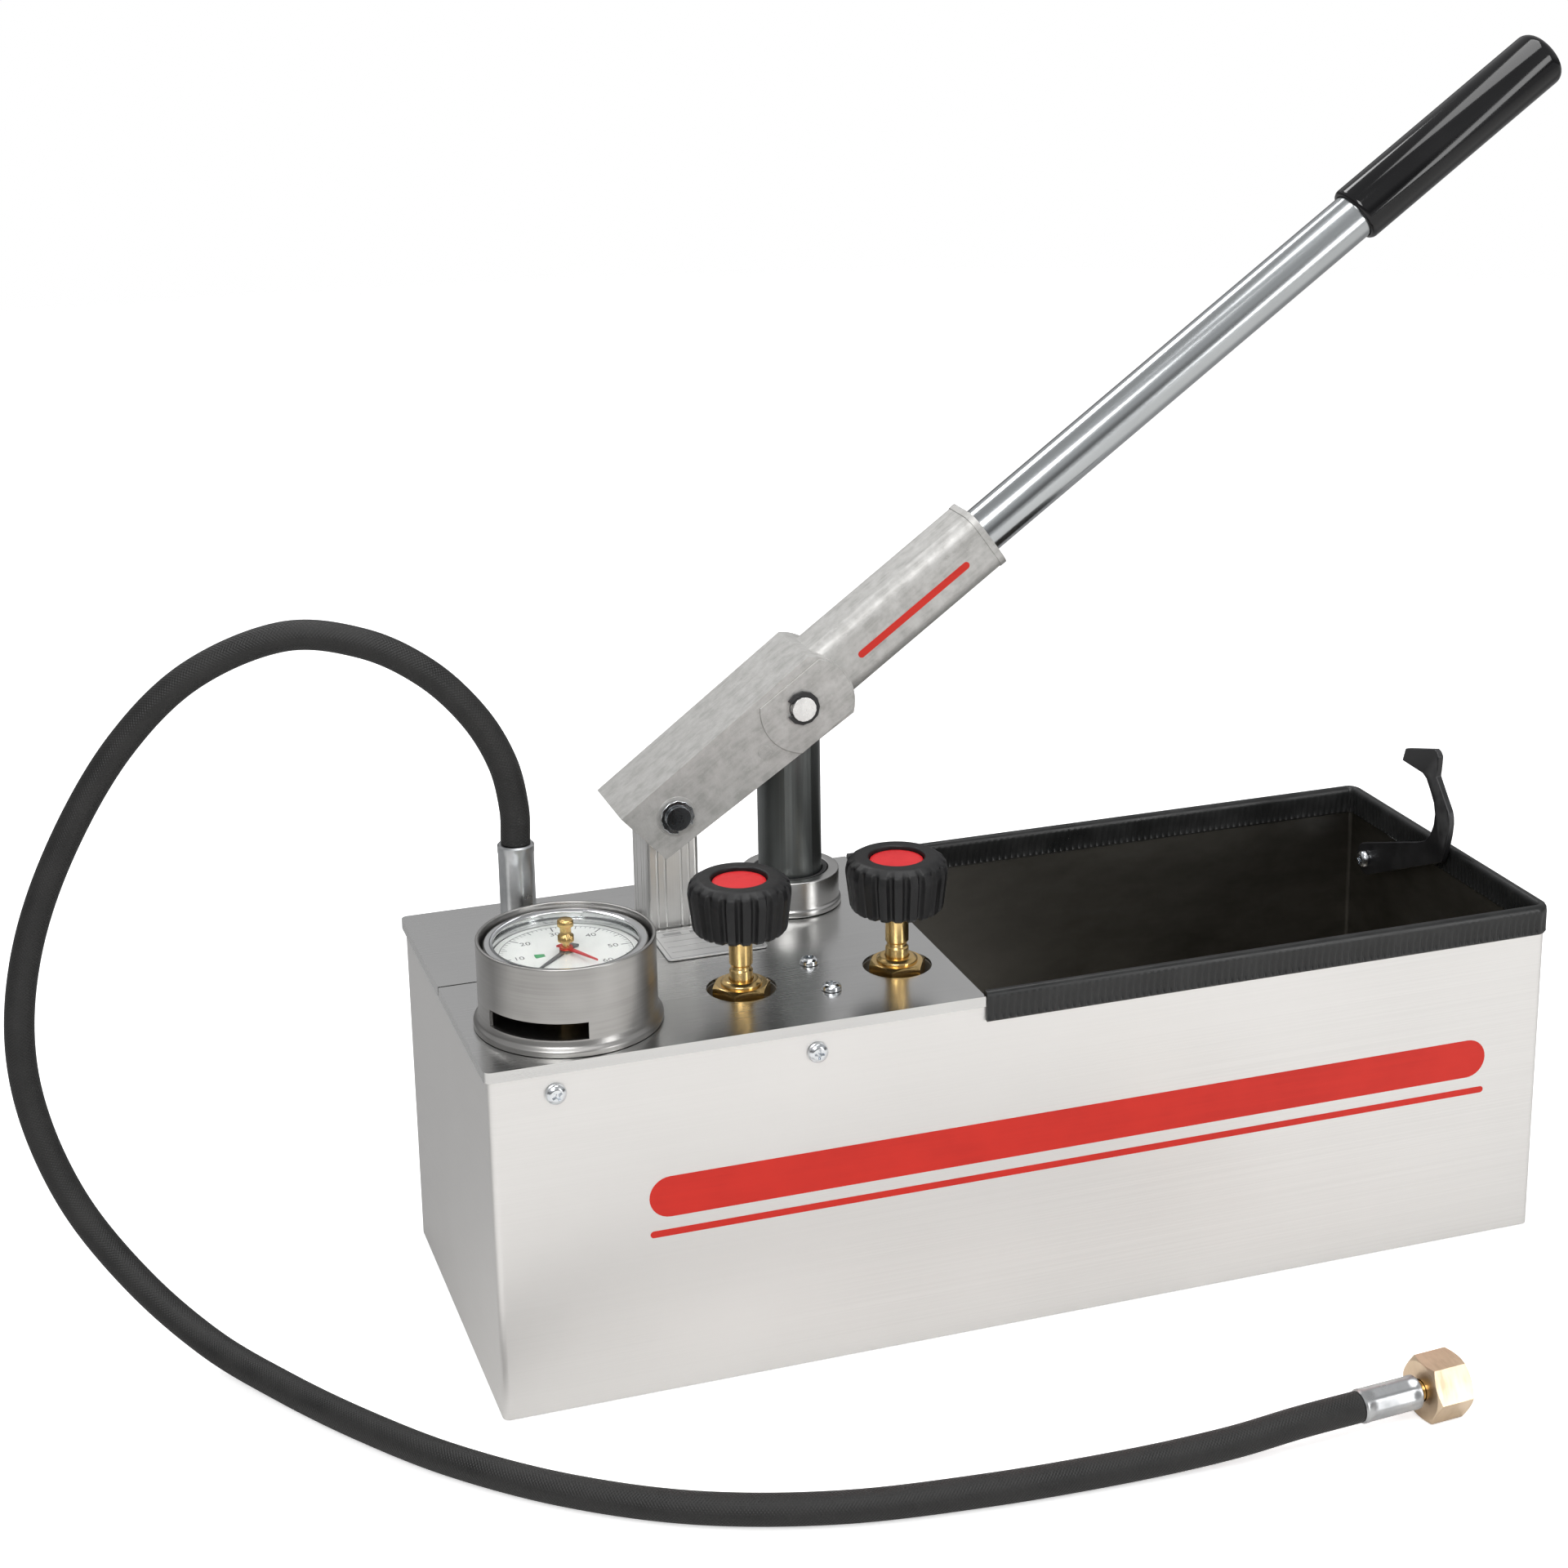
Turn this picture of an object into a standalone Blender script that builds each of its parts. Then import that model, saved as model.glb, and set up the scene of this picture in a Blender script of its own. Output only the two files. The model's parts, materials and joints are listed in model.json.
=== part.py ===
"""Hydraulic hand pump on a sheet-metal tank, for filling and pressure-testing pipework.

The origin is the centre of the tank's base, on the floor. +X runs along the tank
towards the open end, +Y to the side that the lever is on, +Z up.
All the dimensions are in millimetres, and MM turns them into Blender's metres.
"""

import math

import bmesh
import bpy
from mathutils import Matrix, Vector

MM = 0.001
GAP = 0.3                       # clearance between pieces that touch

# Tank, rim trim and cover
TANK_LENGTH = 480.0
TANK_WIDTH = 170.0
TANK_HEIGHT = 153.5
SHEET = 1.2
CORNER_RADIUS = 5.0
COVER_LEFT = -241.5
COVER_RIGHT = -29.7
COVER_HALF_WIDTH = 86.5
COVER_TOP = 155.0
COVER_LIP_BOTTOM = 150.4
COVER_SCREW_X = (-212.9, -103.2)
COVER_SCREW_Z = 141.4
TRIM_OUTSET = 2.0
TRIM_INSET = 3.0
TRIM_BOTTOM = 143.5
TRIM_TOP = 157.0

# Pump block under the cover
BLOCK_BOTTOM = 106.0
BLOCK_TOP = 153.5
BLOCK_SCREWS = ((-87.0, -27.8), (-87.0, -56.9))
BLOCK_SCREW_DEPTH = 142.0

# Lever mechanism, with the handle half raised
MECHANISM_Y = 43.0
PISTON_X = -71.5
PISTON_PIN_Z = 252.9
LINK_X = -129.7
FULCRUM_Z = 210.0
LINK_PIN_Z = 134.0
LEVER_ANGLE = math.radians(35.6)
PIN_RADIUS = 5.5
LINK_PIN_RADIUS = 4.0
LINK_SIZE = 24.0
LINK_EYE_OFFSET = (-2.6, -1.2)  # centre of the link's large lower eye, seen from its pin
LINK_EYE_RADIUS = 9.0
LEVER_WIDTH = 42.0
LEVER_INNER_WIDTH = 32.0
SLEEVE_SIZE = 29.0
SLEEVE_END = 112.5
TUBE_RADIUS = 11.0
TUBE_OFFSET = -0.7              # the tube's axis, below the piston pin across the lever
TUBE_END = 447.0
GRIP_START = 337.0
GRIP_END = 455.0
GRIP_RADIUS = 13.4

# Cylinder and piston
PISTON_RADIUS = 14.3
BORE_RADIUS = 14.7
BARREL_RADIUS = 18.0
COLLAR_RADIUS = 21.9
COLLAR_TOP = 171.5
CYLINDER_BOTTOM = 68.0
PISTON_BOTTOM = 130.0

# Shut-off valves
VALVES = ((-121.8, -42.0), (-52.2, -42.0))
VALVE_HOLE_RADIUS = 14.8
STEM_RADIUS = 5.0
KNOB_BOTTOM = 181.0
KNOB_TOP = 204.5
KNOB_RADIUS = 21.8
KNOB_FLUTES = 20

# Pressure gauge in its guard
GAUGE = (-197.2, -46.3)
GUARD_RADIUS = 36.7
GUARD_TOP = 191.8
CASE_RADIUS = 31.5
DIAL_TOP = 183.8

# Hose: where it leaves the block, its route and the union nut at its end
HOSE_OUTLET = (-205.5, 3.0)
HOSE_RADIUS = 6.25
FERRULE_RADIUS = 7.75
FERRULE_TOP = 215.0
HOSE_END = (79.8, -210.3, 12.3)
HOSE_END_TURN = math.radians(4.0)
HOSE_ROUTE = (
    (-205.5, 3.0, 215.4),
    (-205.5, 3.0, 231.0),
    (-209.5, 3.5, 251.0),
    (-220.0, 6.0, 271.5),
    (-238.0, 10.0, 291.0),
    (-262.5, 16.0, 304.7),
    (-294.0, 23.0, 309.0),
    (-331.0, 30.0, 294.5),
    (-360.5, 36.0, 266.3),
    (-385.0, 41.0, 227.4),
    (-402.5, 45.0, 185.4),
    (-410.5, 46.0, 143.8),
    (-408.0, 45.0, 104.7),
    (-395.0, 36.0, 66.1),
    (-373.0, 18.0, 35.0),
    (-347.5, -4.5, 13.0),
    (-322.5, -38.0, 6.6),
    (-296.9, -77.5, 6.6),
    (-267.0, -115.5, 6.6),
    (-229.5, -150.5, 6.6),
    (-185.5, -178.4, 6.6),
    (-134.2, -196.5, 6.6),
    (-78.0, -205.0, 6.6),
    (-22.1, -208.6, 6.6),
    (21.0, -210.9, 8.6),
    (52.3, -212.0, 12.1),
    (79.4, -210.33, 12.3),
)
HOSE_STEPS = 52

# Transport hook on the inside of the right end wall
HOOK_PIVOT = (58.0, 128.0)
HOOK_X = (232.3, 235.3)
HOOK_PIVOT_RADIUS = 2.5

COLORS = {
    "satin_steel": ((0.78, 0.78, 0.77), 1.0, 0.38),
    "brushed_steel": ((0.62, 0.62, 0.61), 1.0, 0.35),
    "cast_aluminium": ((0.66, 0.66, 0.65), 1.0, 0.5),
    "chrome": ((0.75, 0.77, 0.79), 1.0, 0.12),
    "zinc": ((0.72, 0.73, 0.75), 1.0, 0.3),
    "brass": ((0.72, 0.52, 0.2), 1.0, 0.3),
    "black_steel": ((0.1, 0.1, 0.11), 1.0, 0.4),
    "dark_piston": ((0.12, 0.13, 0.13), 0.6, 0.4),
    "black_plastic": ((0.03, 0.03, 0.03), 0.0, 0.5),
    "black_rubber": ((0.02, 0.02, 0.02), 0.0, 0.7),
    "red_plastic": ((0.75, 0.02, 0.02), 0.0, 0.35),
    "dial_white": ((0.9, 0.9, 0.88), 0.0, 0.5),
    "gauge_glass": ((0.9, 0.95, 0.95), 0.0, 0.05),
    "plate_grey": ((0.6, 0.6, 0.6), 0.3, 0.5),
    "steel_ball": ((0.6, 0.6, 0.62), 1.0, 0.15),
}


# ---------------------------------------------------------------- helpers

def make_collection(name):
    collection = bpy.data.collections.new(name)
    bpy.context.scene.collection.children.link(collection)
    return collection


def make_material(name):
    color, metallic, roughness = COLORS[name]
    material = bpy.data.materials.get(name)
    if material is None:
        material = bpy.data.materials.new(name)
        material.use_nodes = True
        shader = material.node_tree.nodes["Principled BSDF"]
        shader.inputs["Base Color"].default_value = (*color, 1.0)
        shader.inputs["Metallic"].default_value = metallic
        shader.inputs["Roughness"].default_value = roughness
        material.diffuse_color = (*color, 1.0)
    return material


def place(mesh, name, color, base=Matrix()):
    """Puts a mesh in the pump's collection, or with no colour among the cutters."""
    solid = bpy.data.objects.new(name, mesh)
    solid.matrix_world = base
    if color is None:
        CUTTERS.objects.link(solid)
        solid.hide_render = True
        solid.display_type = "WIRE"
        return solid
    PUMP.objects.link(solid)
    mesh.materials.append(make_material(color))
    mesh.shade_smooth()
    mesh.set_sharp_from_angle(angle=math.radians(35))
    return solid


def box(name, color, low, high, base=Matrix()):
    """A block between two opposite corners."""
    size = [(b - a) * MM for a, b in zip(low, high)]
    centre = [(a + b) / 2 * MM for a, b in zip(low, high)]
    mesh = bpy.data.meshes.new(name)
    cage = bmesh.new()
    bmesh.ops.create_cube(cage, size=1.0)
    bmesh.ops.scale(cage, vec=size, verts=cage.verts)
    bmesh.ops.translate(cage, vec=centre, verts=cage.verts)
    cage.to_mesh(mesh)
    cage.free()
    return place(mesh, name, color, base)


def axis_frame(origin, direction):
    """A frame at a point, whose Z runs along a direction."""
    turn = Vector(direction).to_track_quat("Z", "Y").to_matrix().to_4x4()
    return Matrix.Translation(Vector(origin) * MM) @ turn


def rod(name, color, origin, direction, radius, length, steps=32, base=Matrix()):
    """A plain cylinder that starts at a point and runs along a direction."""
    mesh = bpy.data.meshes.new(name)
    cage = bmesh.new()
    bmesh.ops.create_cone(cage, cap_ends=True, segments=steps, radius1=radius * MM,
                          radius2=radius * MM, depth=length * MM)
    bmesh.ops.translate(cage, vec=(0, 0, length / 2 * MM), verts=cage.verts)
    cage.to_mesh(mesh)
    cage.free()
    return place(mesh, name, color, base @ axis_frame(origin, direction))


def turned(name, color, profile, origin=(0, 0, 0), direction=(0, 0, 1), steps=32,
           closed=False, base=Matrix()):
    """A turned piece. Its profile of (radius, height) runs down the outer side."""
    mesh = bpy.data.meshes.new(name)
    points = [(radius * MM, 0.0, height * MM) for radius, height in profile]
    edges = [(i, i + 1) for i in range(len(points) - 1)]
    if closed:
        edges.append((len(points) - 1, 0))
    mesh.from_pydata(points, edges, [])
    solid = place(mesh, name, color, base @ axis_frame(origin, direction))
    screw = solid.modifiers.new("turn", "SCREW")
    screw.axis = "Z"
    screw.angle = math.tau
    screw.steps = steps
    screw.render_steps = steps
    screw.use_merge_vertices = True
    screw.merge_threshold = 0.00001
    screw.use_smooth_shade = False
    return solid


PLANES = {
    "XY": Matrix(),
    "XZ": Matrix(((1, 0, 0, 0), (0, 0, -1, 0), (0, 1, 0, 0), (0, 0, 0, 1))),
    "YZ": Matrix(((0, 0, 1, 0), (1, 0, 0, 0), (0, 1, 0, 0), (0, 0, 0, 1))),
}
NORMALS = {"XY": (0, 0, 1), "XZ": (0, 1, 0), "YZ": (1, 0, 0)}


def plate(name, color, outline, plane, low, high, base=Matrix()):
    """A flat outline in a plane, extruded between two heights along its normal."""
    curve = bpy.data.curves.new(name + "_outline", "CURVE")
    curve.dimensions = "2D"
    curve.fill_mode = "BOTH"
    curve.extrude = (high - low) / 2 * MM
    spline = curve.splines.new("POLY")
    spline.points.add(len(outline) - 1)
    for point, (u, v) in zip(spline.points, outline):
        point.co = (u * MM, v * MM, 0.0, 1.0)
    spline.use_cyclic_u = True
    middle = Vector(NORMALS[plane]) * (low + high) / 2 * MM
    frame = base @ Matrix.Translation(middle) @ PLANES[plane]
    return mesh_of_curve(curve, name, color, frame)


def mesh_of_curve(curve, name, color, frame):
    """Turns a curve into a closed mesh object that can be cut and joined."""
    drawn = bpy.data.objects.new(name + "_curve", curve)
    PUMP.objects.link(drawn)
    drawn.matrix_world = frame
    view = bpy.context.evaluated_depsgraph_get()
    view.update()
    mesh = bpy.data.meshes.new_from_object(drawn.evaluated_get(view))
    mesh.name = name
    cage = bmesh.new()
    cage.from_mesh(mesh)
    bmesh.ops.remove_doubles(cage, verts=cage.verts, dist=0.000001)
    cage.to_mesh(mesh)
    cage.free()
    bpy.data.objects.remove(drawn, do_unlink=True)
    return place(mesh, name, color, frame)


def combine(solid, operation, tools):
    for tool in tools:
        boolean = solid.modifiers.new(tool.name, "BOOLEAN")
        boolean.operation = operation
        boolean.object = tool
        boolean.solver = "EXACT"


def cut(solid, *tools):
    combine(solid, "DIFFERENCE", tools)


def join(solid, *tools):
    combine(solid, "UNION", tools)


def soften(solid, width, segments=1):
    """Breaks the sharp edges of a machined or cast piece."""
    bevel = solid.modifiers.new("soft_edges", "BEVEL")
    bevel.width = width * MM
    bevel.segments = segments
    bevel.limit_method = "ANGLE"
    bevel.angle_limit = math.radians(40)


def arc(centre, radius, start, end, count):
    """Points on an arc, with its angles in degrees."""
    angles = [math.radians(start + (end - start) * i / count) for i in range(count + 1)]
    return [(centre[0] + radius * math.cos(a), centre[1] + radius * math.sin(a)) for a in angles]


def rounded_rectangle(low, high, radius, count=3):
    (x0, y0), (x1, y1) = low, high
    return (arc((x1 - radius, y1 - radius), radius, 0, 90, count)
            + arc((x0 + radius, y1 - radius), radius, 90, 180, count)
            + arc((x0 + radius, y0 + radius), radius, 180, 270, count)
            + arc((x1 - radius, y0 + radius), radius, 270, 360, count))


def hexagon(across_flats):
    corner = across_flats / math.sqrt(3)
    return [(corner * math.cos(a), corner * math.sin(a))
            for a in (math.radians(60 * i) for i in range(6))]


def hex_prism(name, color, across_flats, low, high, frame):
    """A hexagon along the frame's Z, with the corners of both ends turned off."""
    prism = plate(name, color, hexagon(across_flats), "XY", low, high, frame)
    corner = across_flats / math.sqrt(3) + 0.2
    face = across_flats / 2 - 0.3
    slope = (corner - face) * math.tan(math.radians(30))
    shape = [(0, high), (face, high), (corner, high - slope), (corner, low + slope),
             (face, low), (0, low)]
    off_corners = frame @ Matrix.Rotation(math.radians(7), 4, "Z")
    blank = turned(name + "_blank", None, shape, steps=18, base=off_corners)
    combine(prism, "INTERSECT", [blank])
    return prism


def pivot(name, origin, pieces):
    """An empty on a joint's axis that carries the pieces which move with it."""
    empty = bpy.data.objects.new(name, None)
    empty.empty_display_size = 0.02
    PUMP.objects.link(empty)
    empty.location = Vector(origin) * MM
    bpy.context.view_layer.update()
    for piece in pieces:
        piece.parent = empty
        piece.matrix_parent_inverse = empty.matrix_world.inverted()
    return empty


def smooth_route(points, count):
    """Evenly spaced points on a smooth curve through a route's own points."""
    route = [Vector(p) for p in points]
    ends = [2 * route[0] - route[1]] + route + [2 * route[-1] - route[-2]]
    fine = []
    for before, start, end, after in zip(ends, ends[1:], ends[2:], ends[3:]):
        for i in range(24):
            t = i / 24
            fine.append(0.5 * (2 * start + (end - before) * t
                               + (2 * before - 5 * start + 4 * end - after) * t ** 2
                               + (3 * start - before - 3 * end + after) * t ** 3))
    fine.append(route[-1])
    travelled = [0.0]
    for a, b in zip(fine, fine[1:]):
        travelled.append(travelled[-1] + (b - a).length)
    even = []
    place_in = 0
    for i in range(count):
        target = travelled[-1] * i / (count - 1)
        while place_in < len(fine) - 2 and travelled[place_in + 1] < target:
            place_in += 1
        span = travelled[place_in + 1] - travelled[place_in]
        share = (target - travelled[place_in]) / span
        even.append(fine[place_in].lerp(fine[place_in + 1], min(share, 1.0)))
    return even


# ---------------------------------------------------------------- tank and cover

def make_tank():
    """The open sheet-metal tank, with rounded upright corners."""
    mesh = bpy.data.meshes.new("tank")
    shell = bmesh.new()
    bmesh.ops.create_cube(shell, size=1.0)
    size = (TANK_LENGTH * MM, TANK_WIDTH * MM, TANK_HEIGHT * MM)
    bmesh.ops.scale(shell, vec=size, verts=shell.verts)
    bmesh.ops.translate(shell, vec=(0, 0, TANK_HEIGHT / 2 * MM), verts=shell.verts)
    top = [face for face in shell.faces if face.normal.z > 0.9]
    bmesh.ops.delete(shell, geom=top, context="FACES_ONLY")
    upright = [e for e in shell.edges if abs(e.verts[0].co.z - e.verts[1].co.z) > 0.01]
    bmesh.ops.bevel(shell, geom=upright, offset=CORNER_RADIUS * MM, segments=4,
                    profile=0.5, affect="EDGES")
    shell.to_mesh(mesh)
    shell.free()
    tank = place(mesh, "tank", "satin_steel")
    wall = tank.modifiers.new("sheet", "SOLIDIFY")
    wall.thickness = SHEET * MM
    wall.offset = -1
    wall.use_even_offset = True
    for number, (x, side) in enumerate(cover_screw_places(), 1):
        hole = rod(f"tank_hole_{number}", None, (x, side * 75, COVER_SCREW_Z), (0, side, 0),
                   2.4, 15, 10)
        cut(tank, hole)
    y, z = HOOK_PIVOT
    cut(tank, rod("tank_hook_hole", None, (230, y, z), (1, 0, 0), 2.9, 20, 16))
    return tank


def cover_screw_places():
    return [(x, side) for side in (-1, 1) for x in COVER_SCREW_X]


def rim_outline(offset, left):
    """Plan of the rim from the cover's end round the open end, moved outwards by an offset."""
    x = TANK_LENGTH / 2 + offset
    y = TANK_WIDTH / 2 + offset
    radius = max(CORNER_RADIUS + offset, 1.0)
    return ([(left, -y)] + arc((x - radius, -y + radius), radius, -90, 0, 4)
            + arc((x - radius, y - radius), radius, 0, 90, 4) + [(left, y)])


def rim_band(name, color, outset, inset, low, high, left):
    """A band that follows the rim between two offsets."""
    outline = rim_outline(outset, left) + rim_outline(-inset, left)[::-1]
    return plate(name, color, outline, "XY", low, high)


def make_edge_trim():
    """The U-shaped rubber edging pushed over the rim of the open half."""
    left = COVER_RIGHT + 0.6
    trim = rim_band("edge_trim", "black_rubber", TRIM_OUTSET, TRIM_INSET, TRIM_BOTTOM,
                    TRIM_TOP, left)
    groove = rim_band("trim_groove", None, GAP, SHEET + GAP, TRIM_BOTTOM - 2,
                      TANK_HEIGHT + GAP, left - 5)
    cut(trim, groove)
    soften(trim, 0.6)
    return trim


def make_cover():
    """The cover sheet: lip on three sides, a fold across the tank and four screw tabs."""
    mesh = bpy.data.meshes.new("cover_plate")
    shell = bmesh.new()
    bmesh.ops.create_cube(shell, size=1.0)
    length = COVER_RIGHT - COVER_LEFT
    height = COVER_TOP - COVER_LIP_BOTTOM
    size = (length * MM, 2 * COVER_HALF_WIDTH * MM, height * MM)
    middle = ((COVER_LEFT + COVER_RIGHT) / 2 * MM, 0, (COVER_TOP + COVER_LIP_BOTTOM) / 2 * MM)
    bmesh.ops.scale(shell, vec=size, verts=shell.verts)
    bmesh.ops.translate(shell, vec=middle, verts=shell.verts)
    open_faces = [f for f in shell.faces if f.normal.z < -0.9 or f.normal.x > 0.9]
    bmesh.ops.delete(shell, geom=open_faces, context="FACES_ONLY")
    upright = [e for e in shell.edges if abs(e.verts[0].co.z - e.verts[1].co.z) > 0.001
               and e.verts[0].co.x < -0.2]
    bmesh.ops.bevel(shell, geom=upright, offset=(CORNER_RADIUS + 1.5) * MM, segments=4,
                    profile=0.5, affect="EDGES")
    shell.to_mesh(mesh)
    shell.free()
    cover = place(mesh, "cover_plate", "brushed_steel")
    sheet = cover.modifiers.new("sheet", "SOLIDIFY")
    sheet.thickness = SHEET * MM
    sheet.offset = -1
    sheet.use_even_offset = True

    inside = TANK_WIDTH / 2 - SHEET - GAP
    fold = box("cover_fold", None, (COVER_RIGHT - SHEET, -inside, 138),
               (COVER_RIGHT - 0.01, inside, COVER_TOP - 0.5))
    join(cover, fold)
    for number, (x, side) in enumerate(cover_screw_places(), 1):
        near, far = sorted((side * inside, side * (inside - 1.5)))
        join(cover, box(f"cover_tab_{number}", None, (x - 9, near, 134),
                        (x + 9, far, COVER_TOP - 0.5)))
        cut(cover, rod(f"tab_hole_{number}", None, (x, side * 75, COVER_SCREW_Z), (0, side, 0),
                       2.4, 15, 10))
    for number, (x, y) in enumerate(VALVES, 1):
        cut(cover, rod(f"cover_valve_hole_{number}", None, (x, y, 148), (0, 0, 1),
                       VALVE_HOLE_RADIUS, 12, 28))
    for number, (x, y) in enumerate(BLOCK_SCREWS, 1):
        cut(cover, rod(f"cover_screw_hole_{number}", None, (x, y, 148), (0, 0, 1), 2.4, 12, 10))
    cut(cover, rod("cover_gauge_hole", None, (*GAUGE, 148), (0, 0, 1), 10, 12, 20))
    cut(cover, rod("cover_hose_hole", None, (*HOSE_OUTLET, 148), (0, 0, 1), 10.8, 12, 20))
    cut(cover, rod("cover_cylinder_hole", None, (PISTON_X, MECHANISM_Y, 148), (0, 0, 1),
                   BARREL_RADIUS + 0.4, 12, 28))
    cut(cover, box("cover_link_slot", None, (-148.0, MECHANISM_Y - 12.8, 148),
                   (-108.0, MECHANISM_Y + 12.8, 160)))
    cut(cover, box("cover_hose_slit", None, (-250, HOSE_OUTLET[1] - 0.5, 148),
                   (-215, HOSE_OUTLET[1] + 0.5, 160)))
    return cover


def pan_screw(name, origin, direction, head_radius, shank_radius, shank_length):
    """A pan-head screw whose head stands just off the surface at its origin."""
    height = 2.6
    profile = [(0, height + GAP), (head_radius * 0.6, height + GAP),
               (head_radius, height * 0.4), (head_radius, GAP), (shank_radius, GAP),
               (shank_radius, -shank_length), (0, -shank_length)]
    return turned(name, "zinc", profile, origin, direction, 14)


def make_screws():
    for number, (x, side) in enumerate(cover_screw_places(), 1):
        pan_screw(f"cover_screw_{number}", (x, side * TANK_WIDTH / 2, COVER_SCREW_Z),
                  (0, side, 0), 4.4, 2.0, 8.0)
    for number, (x, y) in enumerate(BLOCK_SCREWS, 1):
        pan_screw(f"block_screw_{number}", (x, y, COVER_TOP), (0, 0, 1), 4.2, 2.0,
                  COVER_TOP - BLOCK_SCREW_DEPTH)


def make_rating_plate():
    box("rating_plate", "plate_grey", (-143, -6, COVER_TOP + GAP), (-98, 27, COVER_TOP + GAP + 0.6))


# ---------------------------------------------------------------- pump block

def make_pump_block():
    """The manifold that carries the gauge, both valves, the cylinder and the hose outlet."""
    block = box("pump_block", "cast_aluminium", (-219, -62, BLOCK_BOTTOM), (-33, -22, BLOCK_TOP))
    join(block,
         box("block_cylinder_arm", None, (-97, -30, BLOCK_BOTTOM), (-46, 68, BLOCK_TOP)),
         box("block_link_arm", None, (-155, -30, BLOCK_BOTTOM), (-100, 64, BLOCK_TOP)),
         box("block_hose_arm", None, (-219, -30, BLOCK_BOTTOM), (-192, 15, BLOCK_TOP)))
    cut(block,
        rod("block_barrel_bore", None, (PISTON_X, MECHANISM_Y, 90), (0, 0, 1),
            BARREL_RADIUS + 0.4, 80, 28),
        box("block_link_pocket", None, (-149.5, MECHANISM_Y - 12.8, 116),
            (-108.0, MECHANISM_Y + 12.8, 170)),
        rod("block_link_pin_hole", None, (LINK_X, 0, LINK_PIN_Z), (0, 1, 0),
            LINK_PIN_RADIUS + GAP, 80, 20),
        rod("block_gauge_bore", None, (*GAUGE, 138), (0, 0, 1), 6.4, 30, 20),
        rod("block_hose_bore", None, (*HOSE_OUTLET, 138), (0, 0, 1), 7.4, 30, 20))
    for number, (x, y) in enumerate(VALVES, 1):
        cut(block,
            rod(f"block_valve_seat_{number}", None, (x, y, 145.5), (0, 0, 1),
                VALVE_HOLE_RADIUS, 20, 28),
            rod(f"block_valve_bore_{number}", None, (x, y, 119), (0, 0, 1), 5.6, 40, 16))
    for number, (x, y) in enumerate(BLOCK_SCREWS, 1):
        cut(block, rod(f"block_thread_{number}", None, (x, y, BLOCK_SCREW_DEPTH - 2), (0, 0, 1),
                       2.4, 30, 10))
    return block


def make_cylinder():
    """The barrel with its collar above the cover, and the ring that wipes the piston."""
    top = COLLAR_TOP
    profile = [(COLLAR_RADIUS - 0.8, top), (COLLAR_RADIUS, top - 0.8), (COLLAR_RADIUS, 158.6),
               (22.8, 157.6), (22.8, COVER_TOP + GAP), (BARREL_RADIUS, COVER_TOP + GAP),
               (BARREL_RADIUS, CYLINDER_BOTTOM), (3.0, CYLINDER_BOTTOM),
               (3.0, CYLINDER_BOTTOM + 5), (BORE_RADIUS, CYLINDER_BOTTOM + 5),
               (BORE_RADIUS, top - 3.5), (17.0, top - 3.5), (17.0, top)]
    origin = (PISTON_X, MECHANISM_Y, 0)
    turned("cylinder", "brushed_steel", profile, origin, steps=28, closed=True)
    ring = [(16.7, top + 0.2), (16.7, top - 3.2), (PISTON_RADIUS + GAP, top - 3.2),
            (PISTON_RADIUS + GAP, top - 0.4)]
    turned("wiper_ring", "black_rubber", ring, origin, steps=24, closed=True)


def make_suction():
    """The suction pipe, its strainer near the tank's floor and the inlet ball."""
    axis = (PISTON_X, MECHANISM_Y, 0)
    low = 16.0
    high = CYLINDER_BOTTOM - GAP
    pipe = [(9.0, high), (9.0, high - 5), (6.0, high - 5), (6.0, low), (4.0, low), (4.0, high)]
    turned("suction_tube", "zinc", pipe, axis, steps=16, closed=True)
    basket = [(0.0, 6.2), (11.8, 6.2), (11.8, 24.8), (6.4, 24.8), (6.4, 26.0), (13.0, 26.0),
              (13.0, 5.0), (0.0, 5.0)]
    strainer = turned("suction_strainer", "zinc", basket, axis, steps=20)
    slots = [box(f"strainer_slot_{i}", None, (-20, -1.5, 10), (20, 1.5, 21),
                 Matrix.Translation(Vector((axis[0], axis[1], 0)) * MM)
                 @ Matrix.Rotation(math.radians(45 * i), 4, "Z")) for i in range(4)]
    cut(strainer, *slots)
    mesh = bpy.data.meshes.new("inlet_ball")
    sphere = bmesh.new()
    bmesh.ops.create_uvsphere(sphere, u_segments=12, v_segments=8, radius=4.5 * MM)
    sphere.to_mesh(mesh)
    sphere.free()
    ball = place(mesh, "inlet_ball", "steel_ball",
                 Matrix.Translation(Vector((axis[0], axis[1], CYLINDER_BOTTOM + 8.8)) * MM))
    return ball


# ---------------------------------------------------------------- lever mechanism

def lever_frame():
    """The lever's own frame: origin on the piston pin, X along the handle."""
    centre = Vector((PISTON_X, MECHANISM_Y, PISTON_PIN_Z)) * MM
    return Matrix.Translation(centre) @ Matrix.Rotation(-LEVER_ANGLE, 4, "Y")


def fulcrum_in_lever():
    """The fulcrum pin's place in the lever's frame."""
    dx = LINK_X - PISTON_X
    dz = FULCRUM_Z - PISTON_PIN_Z
    along = dx * math.cos(LEVER_ANGLE) + dz * math.sin(LEVER_ANGLE)
    across = -dx * math.sin(LEVER_ANGLE) + dz * math.cos(LEVER_ANGLE)
    return along, across


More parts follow.
